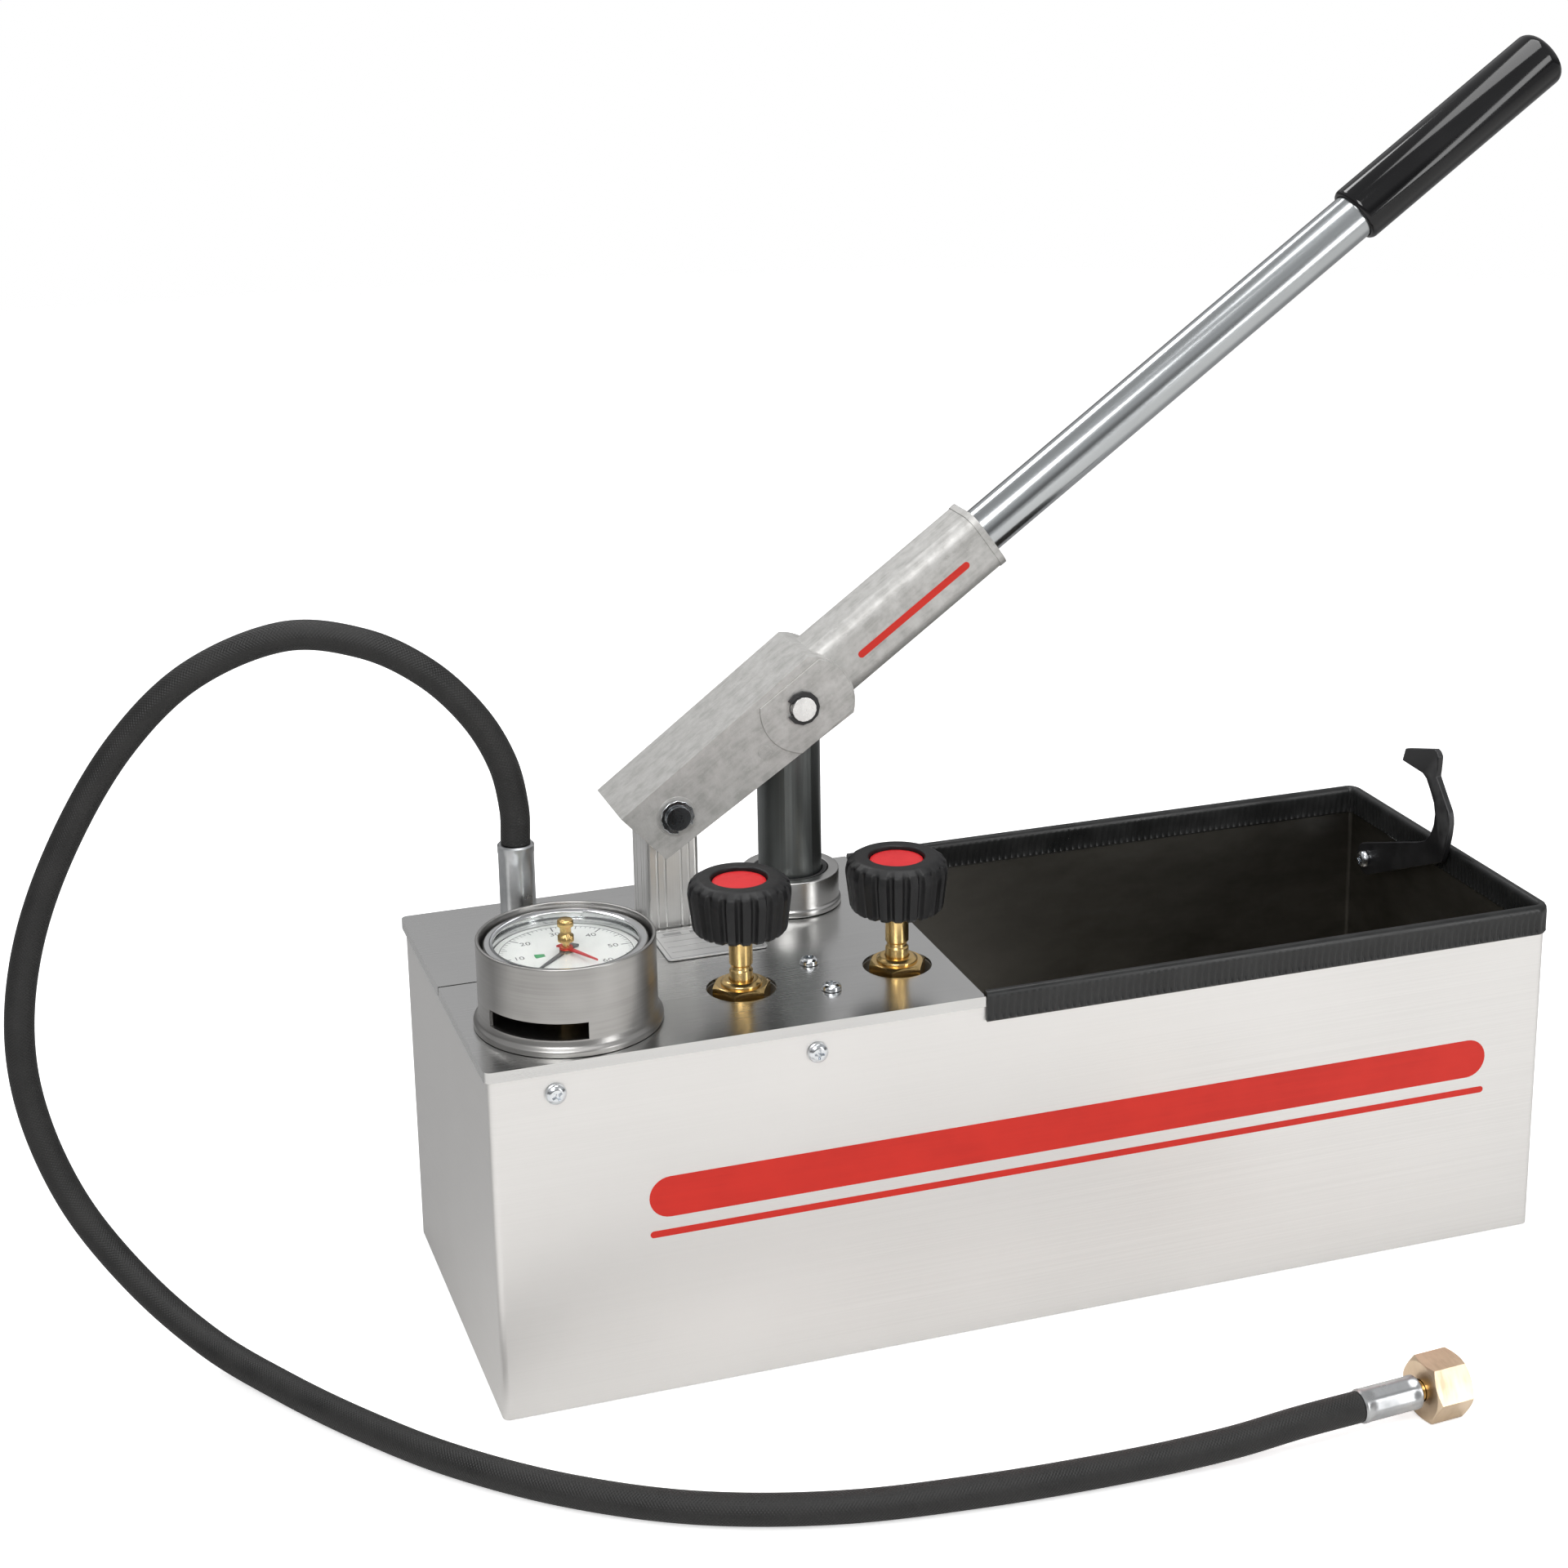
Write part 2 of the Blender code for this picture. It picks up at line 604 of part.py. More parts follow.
def make_lever():
    """The cast lever: an open channel with two ears, and the sleeve for the tube."""
    frame = lever_frame()
    half = LEVER_WIDTH / 2
    inner = LEVER_INNER_WIDTH / 2
    ear = arc((2.0, -1.0), 22.5, 52, -50, 9)
    outline = [(-91.5, 14.8), *ear, (-87.7, -13.8)]
    lever = plate("lever", "cast_aluminium", outline[::-1], "XZ", -half, half, frame)
    cut(lever, box("lever_channel", None, (-100, -inner, -40), (17.8, inner, 11.6), frame))
    side = SLEEVE_SIZE / 2
    square = rounded_rectangle((-side, TUBE_OFFSET - side), (side, TUBE_OFFSET + side), 8.0, 4)
    join(lever, plate("lever_sleeve", None, square, "YZ", 18.5, SLEEVE_END, frame))
    fulcrum = fulcrum_in_lever()
    cut(lever,
        rod("lever_socket", None, (50, 0, TUBE_OFFSET), (1, 0, 0), TUBE_RADIUS + GAP, 80, 28,
            frame),
        rod("lever_piston_hole", None, (0, -30, 0), (0, 1, 0), PIN_RADIUS + GAP, 60, 24, frame),
        rod("lever_fulcrum_hole", None, (fulcrum[0], -30, fulcrum[1]), (0, 1, 0),
            PIN_RADIUS + GAP, 60, 24, frame))
    return lever


def make_handle():
    """The chromed tube and the plastic grip on its end."""
    frame = lever_frame()
    start = (0, 0, TUBE_OFFSET)
    along = (1, 0, 0)
    wall = TUBE_RADIUS - 1.5
    tube = turned("handle_tube", "chrome",
                  [(TUBE_RADIUS, TUBE_END), (TUBE_RADIUS, 51), (wall, 51), (wall, TUBE_END)],
                  start, along, 28, closed=True, base=frame)
    bore = TUBE_RADIUS + GAP
    grip = turned("grip", "black_plastic",
                  [(0, GRIP_END), (GRIP_RADIUS - 4.5, GRIP_END),
                   (GRIP_RADIUS - 1.4, GRIP_END - 1.4), (GRIP_RADIUS, GRIP_END - 5),
                   (GRIP_RADIUS, GRIP_START + 1), (GRIP_RADIUS - 0.8, GRIP_START),
                   (bore, GRIP_START), (bore, TUBE_END + GAP), (0, TUBE_END + GAP)],
                  start, along, 28, base=frame)
    return [tube, grip]


def cross_pin(name, color, centre, half_length, radius, groove, base=Matrix()):
    """A pin along Y, with a groove for a retaining clip near each end."""
    a, b = groove
    side = [(radius, half_length), (radius, b), (radius - 1.0, b), (radius - 1.0, a),
            (radius, a)]
    mirrored = [(r, -z) for r, z in side[::-1]]
    profile = [(0, half_length)] + side + mirrored + [(0, -half_length)]
    return turned(name, color, profile, centre, (0, 1, 0), 16, base=base)


def retaining_clip(name, centre, radius, low, high, opening, base=Matrix()):
    """An open spring clip round a pin that lies along Y."""
    start = math.degrees(opening) + 28
    end = math.degrees(opening) + 332
    outer = arc((0, 0), radius + 2.2, start, end, 10)
    inner = arc((0, 0), radius - 0.7, end, start, 10)
    frame = base @ Matrix.Translation(Vector(centre) * MM)
    return plate(name, "black_steel", outer + inner, "XZ", low, high, frame)


def make_pins():
    """Both lever pins, each with a clip at either end."""
    frame = lever_frame()
    fulcrum = fulcrum_in_lever()
    half = LEVER_WIDTH / 2
    low, high = half + 0.3, half + 1.5
    groove = (low - 0.3, high + 0.3)
    moving = []
    for name, color, (x, z), opening in (
            ("fulcrum", "black_steel", fulcrum, math.radians(-95)),
            ("piston", "zinc", (0.0, 0.0), math.radians(145))):
        centre = (x, 0, z)
        moving.append(cross_pin(name + "_pin", color, centre, half + 3.2, PIN_RADIUS, groove,
                                frame))
        for number, side in enumerate((-1, 1), 1):
            near, far = sorted((side * low, side * high))
            moving.append(retaining_clip(f"{name}_clip_{number}", centre, PIN_RADIUS, near, far,
                                         opening, frame))
    return moving


def make_link():
    """The square rocking link that the lever turns on, with a large eye at its foot."""
    half = LINK_SIZE / 2
    top = arc((LINK_X, FULCRUM_Z), half, 0, 180, 12)
    foot_x = LINK_X + LINK_EYE_OFFSET[0]
    foot_z = LINK_PIN_Z + LINK_EYE_OFFSET[1]
    outline = top + [(LINK_X - half, foot_z), (LINK_X + half, foot_z)]
    centre = MECHANISM_Y
    link = plate("fulcrum_link", "cast_aluminium", outline, "XZ", centre - half, centre + half)
    join(link, rod("link_foot", None, (foot_x, centre - half, foot_z), (0, 1, 0), 13.5,
                   LINK_SIZE, 32))
    cut(link,
        rod("link_eye", None, (foot_x, centre - 20, foot_z), (0, 1, 0), LINK_EYE_RADIUS, 40, 28),
        rod("link_fulcrum_hole", None, (LINK_X, centre - 20, FULCRUM_Z), (0, 1, 0),
            PIN_RADIUS + GAP, 40, 24))
    return link


def make_link_pin():
    """The fixed pin across the block's pocket."""
    half = 20.5
    rod("link_pin", "zinc", (LINK_X, MECHANISM_Y - half, LINK_PIN_Z), (0, 1, 0),
        LINK_PIN_RADIUS, 2 * half, 20)


def make_piston():
    """The plunger: a round rod with a seal at its foot and an eye between the lever's ears."""
    axis = (PISTON_X, MECHANISM_Y, 0)
    shoulder = PISTON_PIN_Z - 1.0
    low = PISTON_BOTTOM
    profile = [(0, shoulder), (PISTON_RADIUS - 0.8, shoulder), (PISTON_RADIUS, shoulder - 1.6),
               (PISTON_RADIUS, low + 8), (11.0, low + 8), (11.0, low + 3), (PISTON_RADIUS, low + 3),
               (PISTON_RADIUS, low + 1), (PISTON_RADIUS - 1, low), (0, low)]
    piston = turned("piston", "dark_piston", profile, axis, steps=28)
    eye = 11.0
    half = 13.5
    tongue = box("piston_tongue", None, (PISTON_X - eye, MECHANISM_Y - half, shoulder - 12),
                 (PISTON_X + eye, MECHANISM_Y + half, PISTON_PIN_Z))
    dome = rod("piston_dome", None, (PISTON_X, MECHANISM_Y - half, PISTON_PIN_Z), (0, 1, 0), eye,
               2 * half, 32)
    join(piston, tongue, dome)
    cut(piston, rod("piston_eye", None, (PISTON_X, MECHANISM_Y - 20, PISTON_PIN_Z), (0, 1, 0),
                    PIN_RADIUS + GAP, 40, 24))
    ring = [(BORE_RADIUS - GAP, low + 7.7), (BORE_RADIUS - GAP, low + 3.3), (11.3, low + 3.3),
            (11.3, low + 7.7)]
    seal = turned("piston_seal", "black_rubber", ring, axis, steps=24, closed=True)
    return [piston, seal]


# ---------------------------------------------------------------- valves

def make_valve(number, x, y):
    """A shut-off valve: gland nut, stem, fluted knob and the knob's red cap."""
    frame = Matrix.Translation(Vector((x, y, 0)) * MM)
    nut = hex_prism(f"gland_nut_{number}", "brass", 22.0, 145.8, 159.5, frame)
    cut(nut, rod(f"gland_bore_{number}", None, (0, 0, 140), (0, 0, 1), STEM_RADIUS + GAP, 30,
                 24, frame))
    stem = turned(f"valve_stem_{number}", "brass",
                  [(0, 198.4), (STEM_RADIUS, 198.4), (STEM_RADIUS, 125), (1.5, 120), (0, 120)],
                  steps=18, base=frame)
    profile = [(0, 201.2), (11.8, 201.2), (11.8, KNOB_TOP), (17.4, KNOB_TOP), (20.8, 201.6),
               (KNOB_RADIUS, 198.5), (19.8, 182.2), (18.6, KNOB_BOTTOM),
               (STEM_RADIUS + GAP, KNOB_BOTTOM), (STEM_RADIUS + GAP, 198.8), (0, 198.8)]
    knob = turned(f"valve_knob_{number}", "black_plastic", profile, steps=20, base=frame)
    for i in range(KNOB_FLUTES):
        angle = math.tau * i / KNOB_FLUTES
        spot = (21.9 * math.cos(angle), 21.9 * math.sin(angle), KNOB_BOTTOM - 2)
        cut(knob, rod(f"flute_{number}_{i}", None, spot, (0, 0, 1), 1.5, 21.5, 8, frame))
    cap = turned(f"knob_cap_{number}", "red_plastic",
                 [(0, 204.4), (9.5, 204.2), (11.4, 203.4), (11.4, 201.5), (0, 201.5)],
                 steps=24, base=frame)
    pivot(f"valve_axis_{number}", (x, y, COVER_TOP), [stem, knob, cap])


# ---------------------------------------------------------------- gauge

def needle(name, color, length, tail, width, low, high, turn, frame):
    """A flat pointer with a round hub, turned about the gauge's axis."""
    spin = frame @ Matrix.Rotation(turn, 4, "Z")
    hub_disc = rod(name, color, (0, 0, low), (0, 0, 1), 2.8, high - low, 20, frame)
    blade = [(-tail, -width / 2), (length, -0.3), (length, 0.3), (-tail, width / 2)]
    join(hub_disc, plate(name + "_blade", None, blade, "XY", low + 0.02, high - 0.02, spin))
    return hub_disc


def make_gauge():
    """The gauge with its reset pointer, standing in a steel guard."""
    frame = Matrix.Translation(Vector((*GAUGE, 0)) * MM)
    r = GUARD_RADIUS
    wall = [(r, GUARD_TOP), (r, 161.5), (r + 2.2, 157.6), (r + 2.2, COVER_TOP + GAP),
            (6.6, COVER_TOP + GAP), (6.6, 156.8), (r - 1.5, 156.8), (r - 1.5, GUARD_TOP)]
    guard = turned("gauge_guard", "brushed_steel", wall, steps=36, closed=True, base=frame)
    window = arc((0, 0), r + 8, -163, -91, 10) + arc((0, 0), r - 8, -91, -163, 10)
    cut(guard, plate("guard_window", None, window, "XY", 161.6, 168.8, frame))

    socket = plate("gauge_socket", "brass", hexagon(17.0), "XY", 157.1, 165.0, frame)
    join(socket,
         rod("socket_thread", None, (0, 0, 141), (0, 0, 1), 6.0, 17.3, 16, frame),
         rod("socket_neck", None, (0, 0, 163.9), (0, 0, 1), 6.8, 3.8, 18, frame))
    cut(socket, rod("socket_bore", None, (0, 0, 139), (0, 0, 1), 1.6, 32, 10, frame))

    c = CASE_RADIUS
    turned("gauge_case", "chrome",
           [(c, 186), (c, 169), (c - 1, 168), (2.5, 168), (2.5, 169.4), (c - 1, 169.4),
            (c - 1, 186)], steps=28, closed=True, base=frame)
    movement = box("gauge_movement", "brass", (-9, -7, 169.7), (9, 7, 181.5), frame)
    cut(movement, rod("movement_bore", None, (0, 0, 178.5), (0, 0, 1), 1.6, 6, 12, frame))
    dial = rod("gauge_dial", "dial_white", (0, 0, 183.0), (0, 0, 1), c - 1.4, 0.8, 36, frame)
    cut(dial, rod("dial_hole", None, (0, 0, 182), (0, 0, 1), 1.7, 3, 12, frame))
    glass = rod("gauge_glass", "gauge_glass", (0, 0, 187.0), (0, 0, 1), 30.8, 1.6, 36, frame)
    cut(glass, rod("glass_hole", None, (0, 0, 186), (0, 0, 1), 1.9, 4, 12, frame))
    turned("gauge_bezel", "chrome",
           [(33.4, 190), (34, 189.3), (34, 184.5), (31.8, 184.5), (31.8, 188.9), (29.6, 188.9),
            (29.6, 190)], steps=36, closed=True, base=frame)

    pointer = needle("gauge_pointer", "black_plastic", 25.0, 7.0, 1.8, 184.1, 185.0,
                     math.radians(-135), frame)
    join(pointer, rod("pointer_shaft", None, (0, 0, 179.0), (0, 0, 1), 1.2, 5.5, 12, frame))
    drag = needle("drag_pointer", "red_plastic", 19.0, 4.0, 1.8, 185.4, 186.2,
                  math.radians(-62), frame)
    reset = turned("reset_knob", "brass",
                   [(0, 198.4), (2.8, 198.4), (3.3, 197.8), (3.3, 195.6), (2.3, 194.6),
                    (2.3, 192.2), (3.3, 191.2), (3.3, 189.0), (1.5, 189.0), (1.5, 186.5),
                    (0, 186.5)], steps=20, base=frame)
    pivot("pointer_axis", (*GAUGE, DIAL_TOP), [pointer])
    pivot("reset_axis", (*GAUGE, DIAL_TOP), [drag, reset])


# ---------------------------------------------------------------- hose

def make_hose_outlet():
    """The hexagon nipple in the block and the ferrule crimped on the hose."""
    frame = Matrix.Translation(Vector((*HOSE_OUTLET, 0)) * MM)
    nipple = hex_prism("hose_nipple", "zinc", 17.0, 155.6, 164.0, frame)
    join(nipple, rod("nipple_thread", None, (0, 0, 140), (0, 0, 1), 7.0, 17, 24, frame))
    cut(nipple, rod("nipple_bore", None, (0, 0, 138), (0, 0, 1), 2.5, 40, 16, frame))
    turned("hose_ferrule", "zinc", ferrule_profile(FERRULE_RADIUS, 164.3, FERRULE_TOP),
           steps=20, closed=True, base=frame)


def ferrule_profile(radius, low, high):
    """A crimped ferrule with broken edges and a through bore."""
    return [(radius - 0.8, high), (radius, high - 0.8), (radius, low + 0.8),
            (radius - 0.8, low), (2.5, low), (2.5, high)]


def make_hose():
    """The loose rubber hose, along its route from the ferrule to the union nut."""
    curve = bpy.data.curves.new("hose_route", "CURVE")
    curve.dimensions = "3D"
    curve.bevel_depth = HOSE_RADIUS * MM
    curve.bevel_resolution = 3
    curve.use_fill_caps = True
    curve.twist_mode = "MINIMUM"
    points = smooth_route(HOSE_ROUTE, HOSE_STEPS)
    spline = curve.splines.new("POLY")
    spline.points.add(len(points) - 1)
    for node, point in zip(spline.points, points):
        node.co = (*(point * MM), 1.0)
    return mesh_of_curve(curve, "hose", "black_rubber", Matrix())


def make_hose_end():
    """Ferrule, tail, union nut and gasket, lying on the floor at the end of the hose."""
    heading = (math.cos(HOSE_END_TURN), math.sin(HOSE_END_TURN), 0)
    frame = axis_frame(HOSE_END, heading)
    turned("end_ferrule", "zinc", ferrule_profile(6.9, 0, 27), steps=20, closed=True, base=frame)
    turned("hose_tail", "brass",
           [(8.8, 35.5), (8.8, 32.5), (4.2, 32.5), (4.2, 27.3), (2.5, 27.3), (2.5, 35.5)],
           steps=24, closed=True, base=frame)
    nut = hex_prism("union_nut", "brass", 24.0, 29.5, 46.5, frame)
    cut(nut,
        rod("nut_neck", None, (0, 0, 28), (0, 0, 1), 4.6, 10, 20, frame),
        rod("nut_cavity", None, (0, 0, 32), (0, 0, 1), 9.6, 24, 28, frame))
    turned("nut_gasket", "black_rubber", [(8.8, 37.4), (8.8, 35.8), (5.0, 35.8), (5.0, 37.4)],
           steps=24, closed=True, base=frame)
    pivot("nut_axis", HOSE_END, [nut])


# ---------------------------------------------------------------- transport hook

def make_transport_hook():
    """The flat hook that holds the folded handle down on the tank's rim."""
    y, z = HOOK_PIVOT
    outline = (arc((y, z), 8.0, 66, -116, 8)
               + [(-9.0, 150.0), (-13.0, 160.0), (-15.0, 171.0), (-13.5, 177.0), (-2.0, 190.5),
                  (-3.0, 200.3), (1.0, 203.0), (26.0, 195.5), (31.4, 181.5), (14.0, 180.3),
                  (8.5, 177.5), (5.0, 171.0), (8.0, 163.5)])
    low, high = HOOK_X
    hook = plate("latch_hook", "black_steel", outline[::-1], "YZ", low, high)
    cut(hook, rod("hook_eye", None, (low - 5, y, z), (1, 0, 0), HOOK_PIVOT_RADIUS + 0.4, 15, 20))
    pivot("hook_axis", (low, y, z), [hook])

    wall_in = TANK_LENGTH / 2 - SHEET
    wall_out = TANK_LENGTH / 2
    head = 4.3
    screw = [(0, 3.0), (head * 0.6, 3.0), (head, 1.6), (head, 0.0), (HOOK_PIVOT_RADIUS, 0.0),
             (HOOK_PIVOT_RADIUS, -13.0), (0, -13.0)]
    turned("hook_screw", "zinc", screw, (low - GAP, y, z), (-1, 0, 0), 14)
    turned("hook_spacer", "zinc",
           [(5.5, wall_in - GAP), (5.5, high + GAP), (HOOK_PIVOT_RADIUS + GAP, high + GAP),
            (HOOK_PIVOT_RADIUS + GAP, wall_in - GAP)], (0, y, z), (1, 0, 0), 14, closed=True)
    nut = hex_prism("hook_nut", "zinc", 8.0, wall_out + GAP, wall_out + 4,
                    axis_frame((0, y, z), (1, 0, 0)))
    cut(nut, rod("hook_nut_bore", None, (wall_out - 2, y, z), (1, 0, 0),
                 HOOK_PIVOT_RADIUS + GAP, 12, 10))


# ---------------------------------------------------------------- assembly

def build():
    make_tank()
    make_edge_trim()
    make_cover()
    make_screws()
    make_rating_plate()
    make_pump_block()
    make_cylinder()
    ball = make_suction()
    pivot("ball_axis", (PISTON_X, MECHANISM_Y, CYLINDER_BOTTOM + 8.8), [ball])
    pivot("lever_axis", (PISTON_X, MECHANISM_Y, PISTON_PIN_Z),
          [make_lever(), *make_handle(), *make_pins()])
    pivot("link_axis", (LINK_X, MECHANISM_Y, FULCRUM_Z), [make_link()])
    make_link_pin()
    pivot("piston_axis", (PISTON_X, MECHANISM_Y, PISTON_PIN_Z), make_piston())
    for number, (x, y) in enumerate(VALVES, 1):
        make_valve(number, x, y)
    make_gauge()
    make_hose_outlet()
    make_hose()
    make_hose_end()
    make_transport_hook()


for old in list(bpy.data.objects):
    bpy.data.objects.remove(old, do_unlink=True)
PUMP = make_collection("hydraulic_hand_pump")
CUTTERS = make_collection("cutters")
build()
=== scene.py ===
"""Looks of the hydraulic hand pump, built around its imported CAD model. Lengths are in metres."""

import json
import math

import bmesh
import bpy
from mathutils import Matrix, Vector

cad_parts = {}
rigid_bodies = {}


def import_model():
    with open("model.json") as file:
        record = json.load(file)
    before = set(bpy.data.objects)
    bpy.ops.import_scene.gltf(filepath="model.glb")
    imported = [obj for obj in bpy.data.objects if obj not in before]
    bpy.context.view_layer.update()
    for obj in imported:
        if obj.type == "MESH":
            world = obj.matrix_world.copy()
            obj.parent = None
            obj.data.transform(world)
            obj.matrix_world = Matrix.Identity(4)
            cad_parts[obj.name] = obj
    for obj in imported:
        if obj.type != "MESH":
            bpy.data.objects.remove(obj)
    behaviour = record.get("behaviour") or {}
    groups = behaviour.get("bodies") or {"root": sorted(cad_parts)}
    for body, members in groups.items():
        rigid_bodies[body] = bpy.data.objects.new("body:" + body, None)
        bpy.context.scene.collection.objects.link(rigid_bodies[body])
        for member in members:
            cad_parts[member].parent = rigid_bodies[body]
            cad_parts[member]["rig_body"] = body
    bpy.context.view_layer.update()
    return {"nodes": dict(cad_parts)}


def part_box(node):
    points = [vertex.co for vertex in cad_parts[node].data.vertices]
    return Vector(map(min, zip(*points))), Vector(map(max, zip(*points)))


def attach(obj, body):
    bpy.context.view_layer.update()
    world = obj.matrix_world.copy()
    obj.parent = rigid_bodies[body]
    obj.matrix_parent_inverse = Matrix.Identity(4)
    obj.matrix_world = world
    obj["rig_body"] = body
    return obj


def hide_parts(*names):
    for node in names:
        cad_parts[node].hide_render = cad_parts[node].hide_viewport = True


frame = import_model()

MM = 0.001
MICRON = 0.000001

# The camera, fitted to points read from the photograph
CAMERA_PLACE = (-0.4345, -1.0589, 0.6212)
CAMERA_TURN = {"Z": -18.2, "X": 74.37, "roll": -0.97}
LENS, SENSOR, SHIFT = 63.05, 36.0, -0.118

# Sheet, bores and flutes
SHEET = 1.2 * MM
SCREW_BORE, HOOK_BORE, PIN_BORE = 2.4 * MM, 2.9 * MM, 5.8 * MM
FLUTES = 20

# Points closer than this are one
MERGED = 1e-7

# The lever and its handle, along the lever from the piston pin
LEVER_ANGLE = math.radians(35.6)
SLEEVE_SIDE = 29 * MM
SLEEVE_DROP = -0.7 * MM
SLEEVE_END = 112.5 * MM
TUBE_START, TUBE_END = 51 * MM, 447 * MM
GRIP_START, GRIP_END = 337 * MM, 455 * MM

# The gauge's scale in degrees, which starts at the lower left and runs clockwise
DIAL_START, DIAL_SWEEP = -135, 270

FLOOR_RADIUS = 3.0

# The hose, which lies on the floor from its seventeenth to its twenty-fourth point
HOSE_DIAMETER = 12.5 * MM
HOSE_STEPS = 420
HOSE_END_TURN = math.radians(4.0)
HOSE_ROUTE = (
    (-0.2055, 0.003, 0.2154), (-0.2055, 0.003, 0.231), (-0.2095, 0.0035, 0.251),
    (-0.22, 0.006, 0.2715), (-0.238, 0.01, 0.291), (-0.2625, 0.016, 0.3047),
    (-0.294, 0.023, 0.309), (-0.331, 0.03, 0.2945), (-0.3605, 0.036, 0.2663),
    (-0.385, 0.041, 0.2274), (-0.4025, 0.045, 0.1854), (-0.4105, 0.046, 0.1438),
    (-0.408, 0.045, 0.1047), (-0.395, 0.036, 0.0661), (-0.373, 0.018, 0.035),
    (-0.3475, -0.0045, 0.013), (-0.3225, -0.038, 0.0066), (-0.2969, -0.0775, 0.0066),
    (-0.267, -0.1155, 0.0066), (-0.2295, -0.1505, 0.0066), (-0.1855, -0.1784, 0.0066),
    (-0.1342, -0.1965, 0.0066), (-0.078, -0.205, 0.0066), (-0.0221, -0.2086, 0.0066),
    (0.021, -0.2109, 0.0086), (0.0523, -0.212, 0.0121), (0.0794, -0.21033, 0.0123),
)


# ---- places read from the CAD model

def centre_of(node):
    low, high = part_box(node)
    return (low + high) / 2


def on_axis(node, height=0.0):
    """A point on the upright axis of a round node."""
    middle = centre_of(node)
    return Vector((middle.x, middle.y, height))


PISTON_PIN = centre_of("piston_pin")
FULCRUM = centre_of("fulcrum_pin")
LEVER = Matrix.Translation(PISTON_PIN) @ Matrix.Rotation(-LEVER_ANGLE, 4, "Y")
COVER_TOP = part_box("cover_plate")[1].z
TANK_LOW, TANK_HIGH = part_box("tank")
HOSE_HEADING = Vector((math.cos(HOSE_END_TURN), math.sin(HOSE_END_TURN), 0))
COVER_SCREWS = [(f"cover_screw_{i}", centre_of(f"cover_screw_{i}")) for i in range(1, 5)]


# ---- scene helpers

def in_scene(name, data):
    """A new object in the scene."""
    thing = bpy.data.objects.new(name, data)
    bpy.context.scene.collection.objects.link(thing)
    return thing


def made(cage, turn_out=False):
    """The mesh of a finished cage, with its faces turned outward where asked."""
    if turn_out:
        bmesh.ops.recalc_face_normals(cage, faces=cage.faces)
    mesh = bpy.data.meshes.new("mesh")
    cage.to_mesh(mesh)
    cage.free()
    return mesh


def evaluated(thing):
    """The mesh that an object's modifiers make of it. The object itself is removed."""
    view = bpy.context.evaluated_depsgraph_get()
    view.update()
    mesh = bpy.data.meshes.new_from_object(thing.evaluated_get(view))
    bpy.data.objects.remove(thing, do_unlink=True)
    return mesh


def turned(degrees, axis):
    return Matrix.Rotation(math.radians(degrees), 4, axis)


def make_camera():
    """The view of the photograph: a little to the left, looking down."""
    data = bpy.data.cameras.new("camera")
    data.lens, data.sensor_width, data.shift_y = LENS, SENSOR, SHIFT
    camera = in_scene("camera", data)
    turn = (turned(CAMERA_TURN["Z"], "Z") @ turned(CAMERA_TURN["X"], "X")
            @ turned(CAMERA_TURN["roll"], "Z"))
    camera.matrix_world = Matrix.Translation(CAMERA_PLACE) @ turn
    bpy.context.scene.camera = camera


# ---- materials

def new_material(name):
    """A material, its node tree, its shader and the object's own coordinates in it."""
    material = bpy.data.materials.new(name)
    material.use_nodes = True
    tree = material.node_tree
    return material, tree, tree.nodes["Principled BSDF"], add(tree, "TexCoord").outputs["Object"]


def add(tree, kind, inputs=(), **settings):
    """A node with its settings, and its inputs as values or as sockets to link."""
    node = tree.nodes.new("ShaderNode" + kind)
    for key, value in settings.items():
        setattr(node, key, value)
    for key, value in dict(inputs).items():
        feed(tree, node.inputs[key], value)
    return node


def feed(tree, socket, value):
    """Links a socket to another one, or sets its value."""
    if isinstance(value, bpy.types.NodeSocket):
        tree.links.new(value, socket)
    else:
        socket.default_value = value


def calculated(tree, operation, *values):
    return add(tree, "Math", enumerate(values), operation=operation).outputs[0]


def noise(tree, place, scale, turn=(0, 0, 0), detail=4.0):
    """Noise in features a metre, which may differ along three axes."""
    if not isinstance(scale, tuple):
        scale = (scale,) * 3
    rotated = add(tree, "Mapping", {"Vector": place, "Rotation": turn}, vector_type="TEXTURE")
    spread = add(tree, "Mapping", {"Vector": rotated.outputs[0], "Scale": scale})
    return add(tree, "TexNoise", {"Vector": spread.outputs[0], "Scale": 1.0, "Detail": detail,
                                  "Roughness": 0.6}).outputs[0]


def ranged(tree, value, low=0.0, high=1.0, start=0.3, end=0.7):
    return add(tree, "MapRange", {"Value": value, "From Min": start, "From Max": end,
                                  "To Min": low, "To Max": high}).outputs[0]


def blend(tree, factor, a, b):
    node = add(tree, "Mix", {"Factor": factor}, data_type="RGBA")
    for socket, value in ((node.inputs[6], a), (node.inputs[7], b)):
        feed(tree, socket, (*value, 1.0) if isinstance(value, tuple) else value)
    return node.outputs[2]


def bumped(tree, height, distance, below=None):
    inputs = {"Height": height, "Distance": distance, "Strength": 1.0}
    if below is not None:
        inputs["Normal"] = below
    return add(tree, "Bump", inputs).outputs[0]


